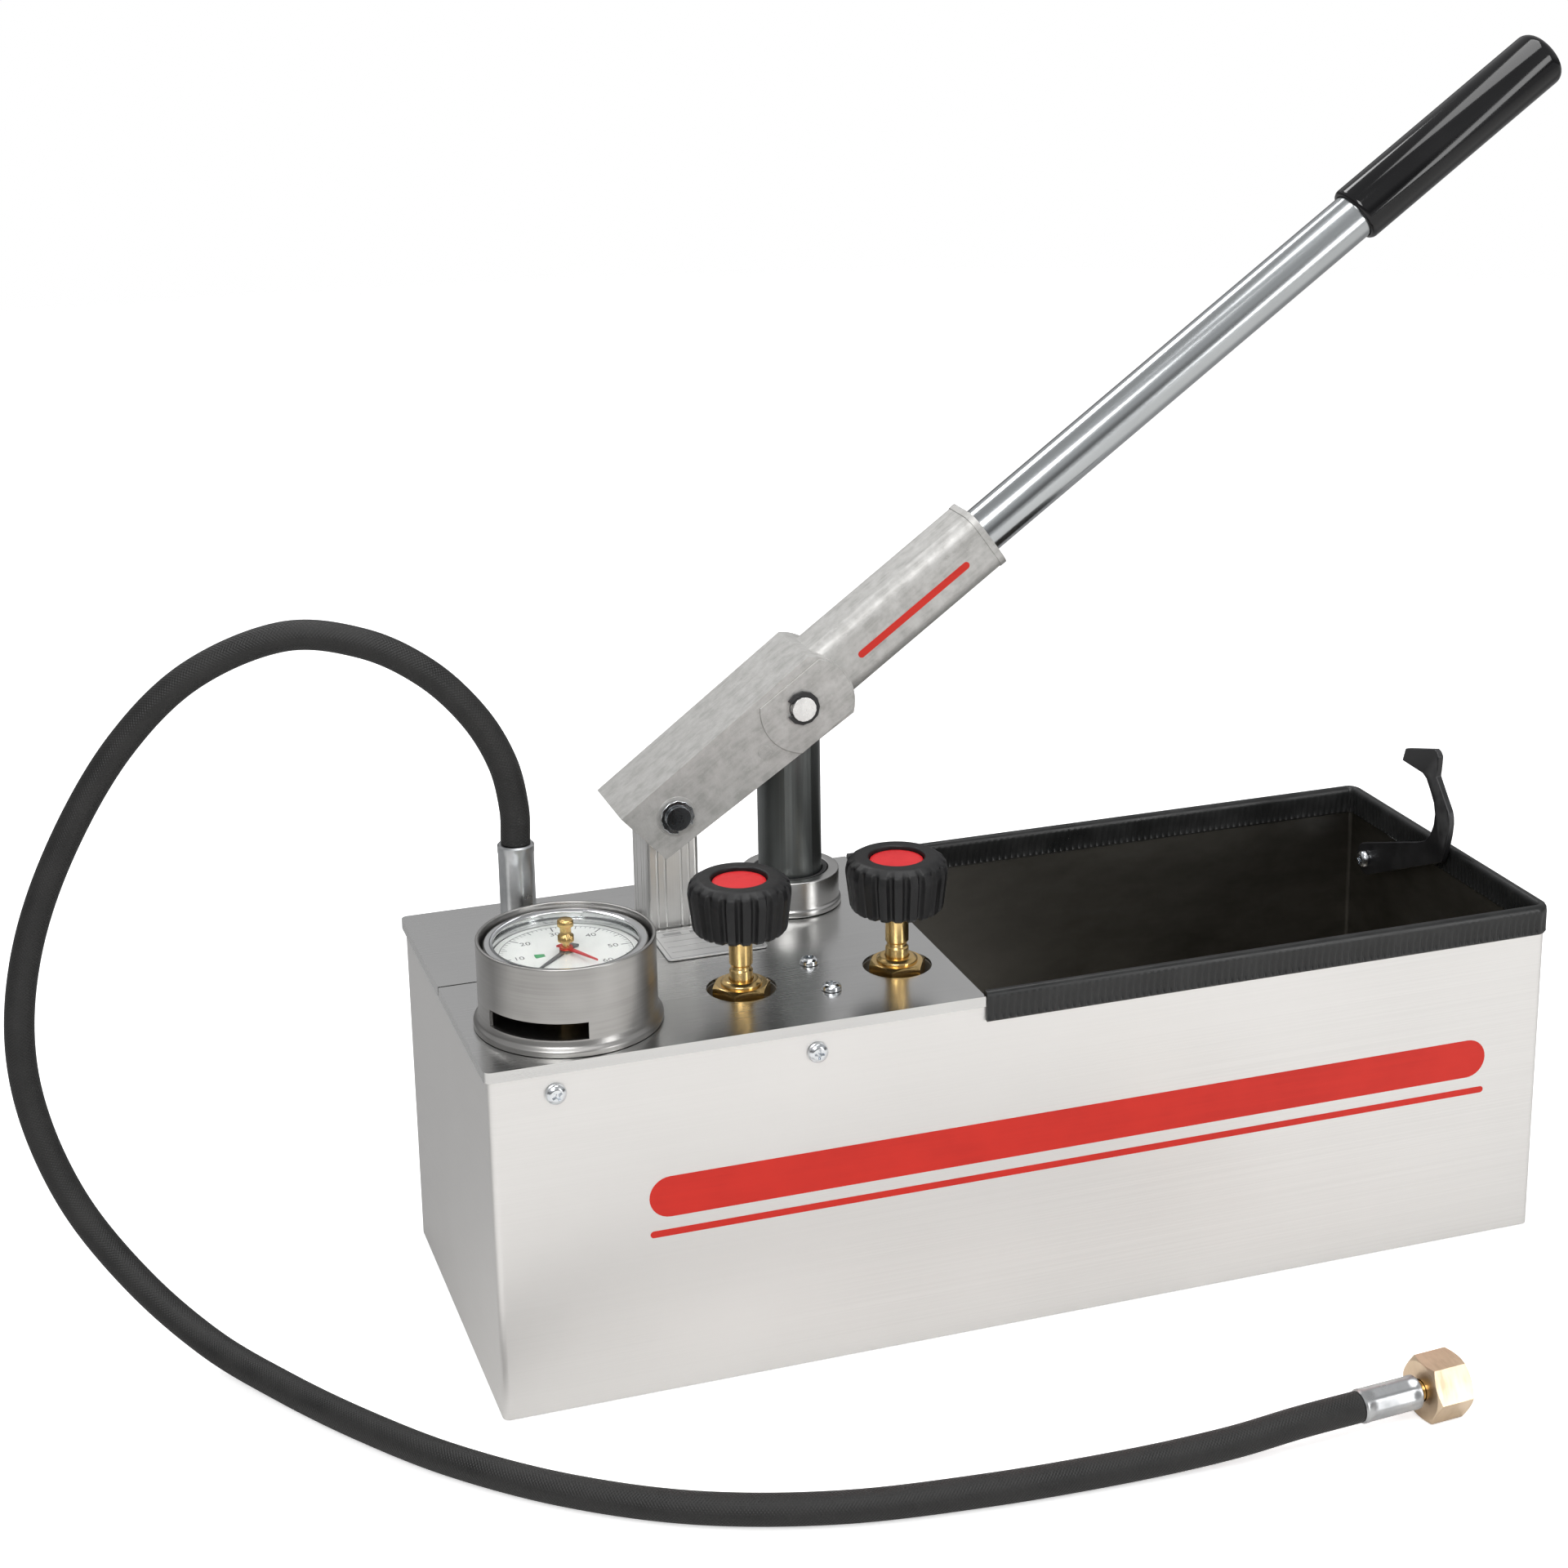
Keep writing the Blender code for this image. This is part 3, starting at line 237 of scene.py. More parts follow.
def surface(name, light, dark, metallic, rough, grain, turn=(0, 0, 0), relief=0.0,
            blotch=18, pores=0.0, pore_size=0.6, scratches=0.0, worn=None, **sockets):
    """A material of grain, blotches, pores and scratches, each at its real scale.

    light and dark are its two colours, rough its lowest and highest roughness, grain the
    features a metre along three axes, and worn the bare colour along raised edges. relief,
    pores and scratches are heights in micrometres, and pore_size is in millimetres.
    """
    material, tree, shader, place = new_material(name)
    streaks = noise(tree, place, grain, turn)
    clouds = noise(tree, place, blotch, detail=3.0)
    shade = calculated(tree, "MULTIPLY_ADD", ranged(tree, streaks),
                       ranged(tree, clouds), ranged(tree, clouds, 0.0, 0.45))
    color = blend(tree, shade, light, dark)
    roughness = ranged(tree, shade, *rough, 0.0, 1.0)
    normal = None
    if relief:
        normal = bumped(tree, streaks, relief * MICRON)
    if pores:
        grit = noise(tree, place, 1 / (pore_size * MM), detail=2.0)
        normal = bumped(tree, grit, pores * MICRON, normal)
    if scratches:
        lines = noise(tree, place, (25, 900, 900), (0.3, 0.5, 0.9), detail=1.0)
        marks = ranged(tree, lines, 0.0, 1.0, 0.68, 0.74)
        normal = bumped(tree, marks, -scratches * MICRON, normal)
        color = blend(tree, marks, color, blend(tree, 0.5, color, light))
    if worn is not None:
        raised = ranged(tree, add(tree, "NewGeometry").outputs["Pointiness"], 0.0, 1.0, 0.53, 0.60)
        patchy = calculated(tree, "MULTIPLY", raised, ranged(tree, clouds, 0.2, 1.0, 0.4, 0.6))
        color = blend(tree, patchy, color, worn)
    feed(tree, shader.inputs["Base Color"], color)
    feed(tree, shader.inputs["Roughness"], roughness)
    if normal is not None:
        feed(tree, shader.inputs["Normal"], normal)
    shader.inputs["Metallic"].default_value = metallic
    for socket, value in sockets.items():
        shader.inputs[socket.replace("_", " ")].default_value = value
    return material


def tank_steel():
    """Satin stainless sheet: bright outside; inside, painted shade that is dark and blotchy, with a
    painted sheen near the cover's edge and lower down.
    """
    material = surface("tank_steel", (0.81, 0.80, 0.785), (0.765, 0.755, 0.74), 1.0, (0.42, 0.50),
                       (4, 4, 1500), relief=3, blotch=5)
    tree = material.node_tree
    shader = tree.nodes["Principled BSDF"]
    place = add(tree, "TexCoord").outputs["Object"]
    x, y, z = add(tree, "SeparateXYZ", {0: place}).outputs
    half = (TANK_HIGH - TANK_LOW) / 2
    skin = SHEET / 2
    reach_x, reach_y = (calculated(tree, "ABSOLUTE", value) for value in (x, y))
    inside = calculated(tree, "GREATER_THAN", z, skin)
    for reach, limit in ((reach_x, half.x - skin), (reach_y, half.y - skin),
                         (calculated(tree, "ADD", reach_x, reach_y), half.x + half.y - 2.6 * MM)):
        inside = calculated(tree, "MULTIPLY", inside, calculated(tree, "LESS_THAN", reach, limit))
    # The inside is painted dark as painted shade, and painted lighter near the cover's edge and
    # lower down as a painted sheen.
    inside_blotches = noise(tree, place, (14, 14, 30), detail=5.0)
    painted_inside_light_and_shade = blend(tree, ranged(tree, inside_blotches), (0.33, 0.315, 0.285), (0.17, 0.16, 0.14))
    painted_sheen_mask = calculated(tree, "MULTIPLY", ranged(tree, x, 1.0, 0.0, -0.03, 0.09),
                        ranged(tree, z, 1.0, 0.25, 0.085, 0.135))
    painted_inside_light_and_shade = blend(tree, painted_sheen_mask, painted_inside_light_and_shade, (0.92, 0.90, 0.86))
    color, roughness = shader.inputs["Base Color"], shader.inputs["Roughness"]
    feed(tree, color, blend(tree, inside, color.links[0].from_socket, painted_inside_light_and_shade))
    feed(tree, roughness, add(tree, "Mix", {"Factor": inside, "A": roughness.links[0].from_socket,
                                            "B": 0.36}).outputs[0])
    return material


def hose_rubber():
    """Black rubber with the print of the wrapping it was cured in, and a little dust."""
    material, tree, shader, place = new_material("hose_rubber")
    along = add(tree, "UVMap", uv_map="route").outputs[0]
    weave = None
    for turn in (0.9, -0.9):
        rotated = add(tree, "Mapping", {"Vector": along, "Rotation": (0, 0, turn)}).outputs[0]
        bands = add(tree, "TexWave", {"Vector": rotated, "Scale": 290.0, "Distortion": 0.6,
                                      "Detail": 1.0}, wave_type="BANDS")
        weave = bumped(tree, bands.outputs["Fac"], 90 * MICRON, weave)
    clouds = noise(tree, place, 60, detail=5.0)
    weave = bumped(tree, noise(tree, place, 1300, detail=2.0), 50 * MICRON, weave)
    color = blend(tree, ranged(tree, clouds), (0.008, 0.008, 0.0078), (0.019, 0.0185, 0.018))
    feed(tree, shader.inputs["Base Color"], color)
    feed(tree, shader.inputs["Roughness"], ranged(tree, clouds, 0.42, 0.6))
    feed(tree, shader.inputs["Normal"], weave)
    shader.inputs["Specular IOR Level"].default_value = 0.38
    return material


def clear_glass():
    """Thin window glass with faint smears."""
    material, tree, shader, place = new_material("clear_glass")
    smears = noise(tree, place, (40, 90, 40), (0, 0, 0.6))
    feed(tree, shader.inputs["Roughness"], ranged(tree, smears, 0.02, 0.10))
    feed(tree, shader.inputs["Base Color"], blend(
        tree, ranged(tree, smears), (0.98, 0.99, 0.985), (0.93, 0.95, 0.94)))
    shader.inputs["Transmission Weight"].default_value = 1.0
    shader.inputs["IOR"].default_value = 1.02
    shader.inputs["Coat Weight"].default_value = 0.35
    return material


def make_materials():
    along_lever = (0, -LEVER_ANGLE, 0)
    ink = {"metallic": 0.0, "rough": (0.42, 0.55), "grain": 200, "blotch": 90}
    return {
        "tank": tank_steel(),
        "cover": surface(
            "cover_steel", (0.65, 0.65, 0.64), (0.59, 0.59, 0.585), 1.0, (0.21, 0.29),
            (5, 1500, 1500), relief=3, blotch=8),
        "turned_steel": surface(
            "turned_steel", (0.54, 0.535, 0.525), (0.45, 0.445, 0.435), 1.0, (0.27, 0.35),
            (6, 6, 1900), relief=4, blotch=16),
        "guard": surface(
            "guard_steel", (0.44, 0.432, 0.42), (0.29, 0.285, 0.275), 1.0, (0.29, 0.40),
            (9, 9, 700), relief=4, blotch=16),
        "zinc": surface(
            "zinc_plate", (0.80, 0.82, 0.84), (0.62, 0.65, 0.68), 1.0, (0.12, 0.24), 90,
            blotch=140, pores=5, pore_size=0.5),
        "ferrule": surface(
            "ferrule_steel", (0.54, 0.55, 0.555), (0.38, 0.39, 0.40), 1.0, (0.26, 0.38), 70,
            blotch=90, pores=4, pore_size=0.8),
        "cast": surface(
            "cast_aluminium", (0.55, 0.545, 0.53), (0.41, 0.405, 0.39), 0.6, (0.50, 0.62),
            (70, 600, 600), along_lever, relief=14, blotch=160, pores=60, pore_size=0.9,
            scratches=10),
        "block": surface(
            "block_aluminium", (0.58, 0.58, 0.57), (0.42, 0.42, 0.41), 1.0, (0.40, 0.56), 120,
            blotch=30, pores=80, pore_size=1.4),
        "link": surface(
            "drawn_aluminium", (0.84, 0.835, 0.82), (0.70, 0.695, 0.68), 1.0, (0.28, 0.40),
            (1100, 1100, 12), relief=8, blotch=30),
        "chrome": surface(
            "chrome_plate", (0.52, 0.54, 0.55), (0.45, 0.47, 0.48), 1.0, (0.17, 0.21),
            (4, 60, 60), along_lever, blotch=12),
        "bezel": surface(
            "bezel_steel", (0.70, 0.705, 0.71), (0.60, 0.605, 0.61), 1.0, (0.10, 0.17),
            (30, 30, 1200), relief=2, blotch=40),
        "brass": surface(
            "machined_brass", (0.76, 0.54, 0.24), (0.68, 0.47, 0.19), 1.0, (0.20, 0.26),
            (50, 50, 1600), relief=2, blotch=25),
        "dull_brass": surface(
            "union_brass", (0.76, 0.61, 0.44), (0.62, 0.48, 0.33), 1.0, (0.28, 0.40),
            (700, 120, 120), relief=5, blotch=60, pores=6),
        "black_steel": surface(
            "black_steel", (0.008, 0.008, 0.009), (0.018, 0.018, 0.019), 0.0, (0.32, 0.46), 150,
            blotch=60, pores=20, pore_size=0.8, worn=(0.07, 0.07, 0.072)),
        "pin": surface(
            "pin_steel", (0.82, 0.82, 0.81), (0.70, 0.70, 0.69), 1.0, (0.22, 0.34), 300,
            blotch=90, pores=4),
        "dark_pin": surface(
            "dark_pin_steel", (0.16, 0.17, 0.18), (0.09, 0.095, 0.10), 1.0, (0.22, 0.36), 300,
            blotch=90, pores=6),
        "piston": surface(
            "ground_dark_steel", (0.17, 0.18, 0.178), (0.115, 0.123, 0.12), 1.0, (0.34, 0.44),
            (900, 900, 7), relief=2),
        "knob": surface(
            "knob_plastic", (0.005, 0.005, 0.0055), (0.011, 0.011, 0.0115), 0.0, (0.40, 0.54),
            400, blotch=60, pores=30, pore_size=0.7, Specular_IOR_Level=0.35),
        "grip": surface(
            "grip_vinyl", (0.004, 0.004, 0.0045), (0.008, 0.008, 0.0085), 0.0, (0.07, 0.12),
            (14, 110, 110), along_lever, relief=6, blotch=22, Specular_IOR_Level=0.32,
            Coat_Weight=0.12, Coat_Roughness=0.05),
        "red": surface(
            "red_plastic", (0.62, 0.008, 0.013), (0.52, 0.006, 0.010), 0.0, (0.34, 0.44), 160,
            blotch=60, pores=10, pore_size=0.7),
        "red_ink": surface(
            "red_ink", (0.60, 0.024, 0.014), (0.53, 0.020, 0.012), 0.0, (0.38, 0.48),
            (20, 20, 500), blotch=30, pores=4, Specular_IOR_Level=0.3),
        "trim": surface(
            "trim_rubber", (0.010, 0.0105, 0.0105), (0.020, 0.0205, 0.0205), 0.0, (0.26, 0.40),
            120, blotch=45, pores=30, pore_size=0.7, Specular_IOR_Level=0.4),
        "seal": surface(
            "seal_rubber", (0.02, 0.02, 0.02), (0.035, 0.035, 0.035), 0.0, (0.45, 0.6), 200,
            blotch=90, pores=30),
        "dial": surface(
            "dial_enamel", (0.82, 0.82, 0.80), (0.76, 0.76, 0.745), 0.0, (0.32, 0.42), 90,
            blotch=50, pores=6, pore_size=0.8),
        "ink": surface("dial_ink", (0.09, 0.09, 0.095), (0.15, 0.15, 0.155), **ink),
        "grey_ink": surface("plate_ink", (0.22, 0.22, 0.22), (0.32, 0.32, 0.32), **ink),
        "green_ink": surface("green_ink", (0.04, 0.30, 0.10), (0.06, 0.38, 0.14), **ink),
        "plate": surface(
            "etched_plate", (0.70, 0.70, 0.695), (0.62, 0.62, 0.615), 0.8, (0.36, 0.48),
            (8, 900, 900), relief=3, blotch=40),
        "hose": hose_rubber(),
        "glass": clear_glass(),
    }


# ---- mesh helpers

def in_mm(*points):
    """Points given in millimetres."""
    return [tuple(value * MM for value in point) for point in points]


def finish_piece(mesh, name, look, body, replaced=(), base=Matrix(), sharp=35, soften=0.0):
    """Shades a mesh, gives it its look and puts it on its CAD body in place of the CAD nodes."""
    piece = in_scene(name, mesh)
    mesh.transform(base)
    mesh.materials.clear()
    mesh.materials.append(MATERIALS[look])
    mesh.shade_smooth()
    mesh.set_sharp_from_angle(angle=math.radians(sharp))
    if soften:
        bevel = piece.modifiers.new("soft_edges", "BEVEL")
        bevel.width = soften
        bevel.segments = 3
        bevel.limit_method = "ANGLE"
        bevel.angle_limit = math.radians(38)
        smooth = piece.modifiers.new("flat_faces", "WEIGHTED_NORMAL")
        smooth.keep_sharp = True
    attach(piece, body)
    if replaced:
        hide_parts(*replaced)
    return piece


def stand_in(mesh, name, look, node, base=Matrix(), sharp=35, soften=0.0):
    """A new piece in place of a CAD node, on that node's body."""
    body = frame["nodes"][node]["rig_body"]
    return finish_piece(mesh, name, look, body, [node], base, sharp, soften)


def refine(node, look, soften=0.25 * MM):
    """A finer copy of a CAD node, with its flat faces whole again and its edges softened."""
    cage = bmesh.new()
    cage.from_mesh(frame["nodes"][node].data)
    bmesh.ops.remove_doubles(cage, verts=cage.verts, dist=MM / 1000)
    bmesh.ops.dissolve_limit(cage, angle_limit=math.radians(1.5), verts=cage.verts,
                             edges=cage.edges)
    return stand_in(made(cage), node + "_fine", look, node, soften=soften)


def lathe(profile, steps=96, closed=False, shape=None):
    """A mesh turned round Z. The profile of (radius, height) runs down the outer side.

    shape(radius, height, angle) may change the radius round the turn.
    """
    cage = bmesh.new()
    rings = []
    for radius, height in profile:
        if radius < MERGED:
            rings.append([cage.verts.new((0, 0, height))])
            continue
        ring = []
        for i in range(steps):
            angle = math.tau * i / steps
            r = shape(radius, height, angle) if shape else radius
            ring.append(cage.verts.new((r * math.cos(angle), r * math.sin(angle), height)))
        rings.append(ring)
    pairs = list(zip(rings, rings[1:]))
    if closed:
        pairs.append((rings[-1], rings[0]))
    for upper, lower in pairs:
        for i in range(steps):
            j = (i + 1) % steps
            corners = (upper[i % len(upper)], lower[i % len(lower)],
                       lower[j % len(lower)], upper[j % len(upper)])
            face = list(dict.fromkeys(corners))
            if len(face) > 2:
                cage.faces.new(face)
    return made(cage, turn_out=True)


def rounded(points, radius, count=4):
    """An open profile with its inner corners rounded."""
    result = [points[0]]
    for before, corner, after in zip(points, points[1:], points[2:]):
        a, b, c = Vector(before), Vector(corner), Vector(after)
        reach = min(radius, (a - b).length * 0.45, (c - b).length * 0.45)
        start = b + (a - b).normalized() * reach
        end = b + (c - b).normalized() * reach
        for i in range(count + 1):
            t = i / count
            result.append(tuple((1 - t) ** 2 * start + 2 * t * (1 - t) * b + t * t * end))
    result.append(points[-1])
    return result


def arc(centre, radius, start, end, count):
    """Points on an arc, with its angles in degrees."""
    angles = [math.radians(start + (end - start) * i / count) for i in range(count + 1)]
    return [(centre[0] + radius * math.cos(a), centre[1] + radius * math.sin(a)) for a in angles]


def rounded_box_outline(low, high, radius, count=8):
    (x0, y0), (x1, y1) = low, high
    return (arc((x1 - radius, y1 - radius), radius, 0, 90, count)
            + arc((x0 + radius, y1 - radius), radius, 90, 180, count)
            + arc((x0 + radius, y0 + radius), radius, 180, 270, count)
            + arc((x1 - radius, y0 + radius), radius, 270, 360, count))


PLANES = {
    "XY": Matrix(),
    "XZ": Matrix(((1, 0, 0, 0), (0, 0, -1, 0), (0, 1, 0, 0), (0, 0, 0, 1))),
    "YZ": Matrix(((0, 0, 1, 0), (1, 0, 0, 0), (0, 1, 0, 0), (0, 0, 0, 1))),
}


def join_rings(cage, a, b):
    """Four-sided faces between two rings."""
    for i in range(len(a)):
        j = (i + 1) % len(a)
        cage.faces.new((a[i], a[j], b[j], b[i]))


def prism(outline, low, high, plane="XY"):
    """A flat outline, extruded between two heights along its plane's normal."""
    cage = bmesh.new()
    flip = -1 if plane == "XZ" else 1
    floor = [cage.verts.new((u, v, flip * low)) for u, v in outline]
    roof = [cage.verts.new((u, v, flip * high)) for u, v in outline]
    cage.faces.new(floor[::-1])
    cage.faces.new(roof)
    join_rings(cage, floor, roof)
    bmesh.ops.transform(cage, matrix=PLANES[plane], verts=cage.verts)
    return made(cage, turn_out=True)


def add_box(cage, low, high):
    """A box between two corners, added to a cage."""
    verts = bmesh.ops.create_cube(cage, size=1.0)["verts"]
    bmesh.ops.scale(cage, vec=[b - a for a, b in zip(low, high)], verts=verts)
    bmesh.ops.translate(cage, vec=[(a + b) / 2 for a, b in zip(low, high)], verts=verts)
    return verts


def block(low, high):
    """A plain block, for cutting and joining."""
    cage = bmesh.new()
    add_box(cage, low, high)
    return made(cage)


def facing(origin, direction):
    """A frame at a point, whose Z runs along a direction."""
    turn = Vector(direction).to_track_quat("Z", "Y").to_matrix().to_4x4()
    return Matrix.Translation(Vector(origin)) @ turn


def rod(start, direction, radius, length, steps=64):
    """A plain cylinder from a point along a direction, for cutting and joining."""
    mesh = lathe([(0, length), (radius, length), (radius, 0), (0, 0)], steps)
    mesh.transform(facing(start, direction))
    return mesh


def shaped(mesh, *steps):
    """A mesh after Boolean steps, each ("cut", "add" or "keep", mesh)."""
    kinds = {"cut": "DIFFERENCE", "add": "UNION", "keep": "INTERSECT"}
    main = in_scene("shaped", mesh)
    tools = []
    for kind, tool_mesh in steps:
        tools.append(in_scene("tool", tool_mesh.copy()))
        boolean = main.modifiers.new(kind, "BOOLEAN")
        boolean.operation = kinds[kind]
        boolean.object = tools[-1]
        boolean.solver = "EXACT"
    cage = bmesh.new()
    cage.from_mesh(evaluated(main))
    for tool in tools:
        bpy.data.objects.remove(tool, do_unlink=True)
    bmesh.ops.remove_doubles(cage, verts=cage.verts, dist=MERGED)
    return made(cage)


# ---- hose

def smooth_route(points, count):
    """Evenly spaced points on a smooth curve through a route's own points, and its length."""
    route = [Vector(p) for p in points]
    ends = [2 * route[0] - route[1]] + route + [2 * route[-1] - route[-2]]
    fine = []
    for before, start, end, after in zip(ends, ends[1:], ends[2:], ends[3:]):
        for i in range(24):
            t = i / 24
            fine.append(0.5 * (2 * start + (end - before) * t
                               + (2 * before - 5 * start + 4 * end - after) * t ** 2
                               + (3 * start - before - 3 * end + after) * t ** 3))
    fine.append(route[-1])
    travelled = [0.0]
    for a, b in zip(fine, fine[1:]):
        travelled.append(travelled[-1] + (b - a).length)
    even = []
    step = 0
    for i in range(count):
        target = travelled[-1] * i / (count - 1)
        while step < len(fine) - 2 and travelled[step + 1] < target:
            step += 1
        share = (target - travelled[step]) / (travelled[step + 1] - travelled[step])
        even.append(fine[step].lerp(fine[step + 1], min(share, 1.0)))
    return even, travelled[-1]


def tube_along(points, radius, sides=28):
    """A capped tube whose texture coordinates are the distances round it and along it."""
    cage = bmesh.new()
    route = cage.loops.layers.uv.new("route")
    ahead = (points[1] - points[0]).normalized()
    side = ahead.orthogonal().normalized()
    rings = []
    reached = 0.0
    distances = []
    for i, point in enumerate(points):
        before, after = points[max(i - 1, 0)], points[min(i + 1, len(points) - 1)]
        heading = (after - before).normalized()
        side = (side - heading * side.dot(heading)).normalized()
        other = heading.cross(side)
        rings.append([cage.verts.new(point + radius * (math.cos(a) * side + math.sin(a) * other))
                      for a in (math.tau * k / sides for k in range(sides))])
        if i:
            reached += (point - points[i - 1]).length
        distances.append(reached)
    for i in range(len(rings) - 1):
        for k in range(sides):
            j = (k + 1) % sides
            face = cage.faces.new((rings[i][k], rings[i][j], rings[i + 1][j], rings[i + 1][k]))
            for loop, turn, row in zip(face.loops, (k, k + 1, k + 1, k), (i, i, i + 1, i + 1)):
                loop[route].uv = (turn / sides * math.tau * radius, distances[row])
    cage.faces.new(rings[0][::-1])
    cage.faces.new(rings[-1])
    return made(cage, turn_out=True)


def crimped(radius, length, lip):
    """A ferrule pressed to eight flats between two round lips, along Z."""
    edge = 0.7 * MM
    margin = lip * 1.2
    flat = math.pi / 8

    def pressed(r, height, angle):
        if margin < height < length - margin:
            return min(r, r * 0.955 / math.cos(angle % (2 * flat) - flat))
        return r

    rise = [margin + 0.1 * MM + (length - 2 * margin - 0.2 * MM) * i / 8 for i in range(9)]
    profile = ([(radius * 0.5, length), (radius - edge, length), (radius, length - edge),
                (radius, length - lip)] + [(radius * 0.985, z) for z in rise[::-1]]
               + [(radius, lip), (radius, edge), (radius - edge, 0), (radius * 0.5, 0)])
    return lathe(profile, closed=True, shape=pressed)


def hex_nut(across_flats, height):
    """A hexagon along Z whose corners are turned off at both ends."""
    corner = across_flats / math.sqrt(3)
    blank_corner = corner + 0.1 * MM
    face = across_flats / 2 - 0.2 * MM
    slope = (blank_corner - face) * math.tan(math.radians(30))
    blank = lathe([(0, height), (face, height), (blank_corner, height - slope),
                   (blank_corner, slope), (face, 0), (0, 0)])
    hexagon = prism(arc((0, 0), corner, 0, 300, 5), 0, height)
    return shaped(hexagon, ("keep", blank))


def make_union_nut(end):
    """The loose nut: a hexagon with a threaded mouth and a neck round the hose tail."""
    across_flats, length, seat = 24 * MM, 17 * MM, 29.5 * MM
    pitch, mouth, floor = 1.8 * MM, 9.6 * MM, 2.5 * MM
    thread = [(mouth - (0.0 if i % 2 else 0.9 * MM), 8.4 * MM + i * pitch / 2) for i in range(9)]
    wide = mouth + 0.8 * MM
    cavity = lathe([(0, length + MM), (wide, length + MM), (wide, length - 0.6 * MM)]
                   + [p for p in thread[::-1] if p[1] < length - 1.2 * MM]
                   + [(mouth, floor), (0, floor)], 64)
    neck = rod((0, 0, -MM), (0, 0, 1), 4.6 * MM, 10 * MM)
    mesh = shaped(hex_nut(across_flats, length), ("cut", cavity), ("cut", neck))
    mesh.transform(Matrix.Translation((0, 0, seat)))
    return stand_in(mesh, "union_nut_brass", "dull_brass", "union_nut", facing(end, HOSE_HEADING),
                    sharp=30)


def make_hose():
    """The hose itself, the crimped ferrules at its ends and the union nut on the floor."""
    points, length = smooth_route(HOSE_ROUTE, HOSE_STEPS)
    mesh = tube_along(points, HOSE_DIAMETER / 2)
    hose = stand_in(mesh, "hose_tube", "hose", "hose", sharp=60)

    low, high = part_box("hose_ferrule")
    first = stand_in(crimped((high.x - low.x) / 2, high.z - low.z, 3.5 * MM), "ferrule_at_block",
                     "ferrule", "hose_ferrule", Matrix.Translation(on_axis("hose_ferrule", low.z)))
    end = Vector(HOSE_ROUTE[-1]) + HOSE_HEADING * 0.4 * MM
    last = stand_in(crimped(6.9 * MM, 27 * MM, 2.5 * MM), "ferrule_at_nut", "ferrule",
                    "end_ferrule", facing(end, HOSE_HEADING))
    tail = refine("hose_tail", "brass", 0.2 * MM)
    gasket = refine("nut_gasket", "seal", 0.2 * MM)
    nut = make_union_nut(end)


# ---- tank, cover and trim

def sheet_shell(low, high, open_sides, radius, corner_test):
    """An open sheet box with rounded upright corners. Its thickness goes inwards."""
    cage = bmesh.new()
    add_box(cage, low, high)
    bmesh.ops.delete(cage, geom=[f for f in cage.faces if open_sides(f.normal)],
                     context="FACES_ONLY")
    upright = [e for e in cage.edges if abs(e.verts[0].co.z - e.verts[1].co.z) > MM
               and corner_test(e.verts[0].co)]
    bmesh.ops.bevel(cage, geom=upright, offset=radius, segments=8, profile=0.5, affect="EDGES")
    shell = in_scene("shell", made(cage))
    sheet = shell.modifiers.new("sheet", "SOLIDIFY")
    sheet.thickness = SHEET
    sheet.offset = -1
    sheet.use_even_offset = True
    return evaluated(shell)


def screw_bores(steps):
    """Cuts for the cover screws, each through both long walls."""
    return [("cut", rod((place.x, -0.1, place.z), (0, 1, 0), SCREW_BORE, 0.2, steps))
            for _, place in COVER_SCREWS if place.y < 0]


def make_tank():
    shell = sheet_shell(TANK_LOW, TANK_HIGH, lambda n: n.z > 0.9, 3 * MM, lambda p: True)
    pivot = centre_of("hook_nut")
    pivot_bore = rod((0.2, pivot.y, pivot.z), (1, 0, 0), HOOK_BORE, 0.1, 24)
    stand_in(shaped(shell, *screw_bores(24), ("cut", pivot_bore)), "tank_shell", "tank", "tank",
             soften=0.35 * MM)


def make_stripes():
    """A plain red stripe printed along the tank's front, and a thin line below it."""
    start, end = -176, 212
    for name, bottom, top, radius in (("tank_stripe", 79, 97, 9),
                                      ("tank_pinstripe", 70.5, 73.5, 1.5)):
        outline = rounded_box_outline(*in_mm((start, bottom), (end, top)), radius * MM)
        stripe = prism(outline, TANK_LOW.y - 0.10 * MM, TANK_LOW.y + 0.02 * MM, "XZ")
        finish_piece(stripe, name, "red_ink", "frame")


def make_cover():
    """The cover sheet with its lip, fold, tabs and holes."""
    low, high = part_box("cover_plate")
    lip = Vector((low.x, low.y, high.z - 4.6 * MM))
    shell = sheet_shell(lip, high, lambda n: n.z < -0.9 or n.x > 0.9, 3 * MM, lambda p: p.x < -0.2)
    inside = TANK_HIGH.y - 1.5 * MM
    roof = high.z - 0.5 * MM
    fold = block((high.x - SHEET, -inside, 0.138), (high.x - 0.01 * MM, inside, roof))
    steps = [("add", fold)]
    for _, place in COVER_SCREWS:
        side = math.copysign(1, place.y)
        near, far = sorted((side * inside, side * (inside - 1.5 * MM)))
        tab = block((place.x - 9 * MM, near, low.z), (place.x + 9 * MM, far, roof))
        steps.append(("add", tab))
    steps += screw_bores(20)
    below, above = 0.148, 0.160
    for node, radius in (("valve_stem_1", 14.8), ("valve_stem_2", 14.8), ("gauge_guard", 10.0),
                         ("hose_ferrule", 10.8), ("cylinder", 18.4), ("block_screw_1", 2.4),
                         ("block_screw_2", 2.4)):
        bore = rod(on_axis(node, below), (0, 0, 1), radius * MM, above - below, 72)
        steps.append(("cut", bore))
    link, hose = centre_of("link_pin"), centre_of("hose_ferrule")
    for start, end in (
            ((link.x - 18.3 * MM, link.y - 12.8 * MM), (link.x + 21.7 * MM, link.y + 12.8 * MM)),
            ((-0.250, hose.y - 0.5 * MM), (-0.215, hose.y + 0.5 * MM))):
        steps.append(("cut", block((*start, below), (*end, above))))
    stand_in(shaped(shell, *steps), "cover_sheet", "cover", "cover_plate", soften=0.22 * MM)


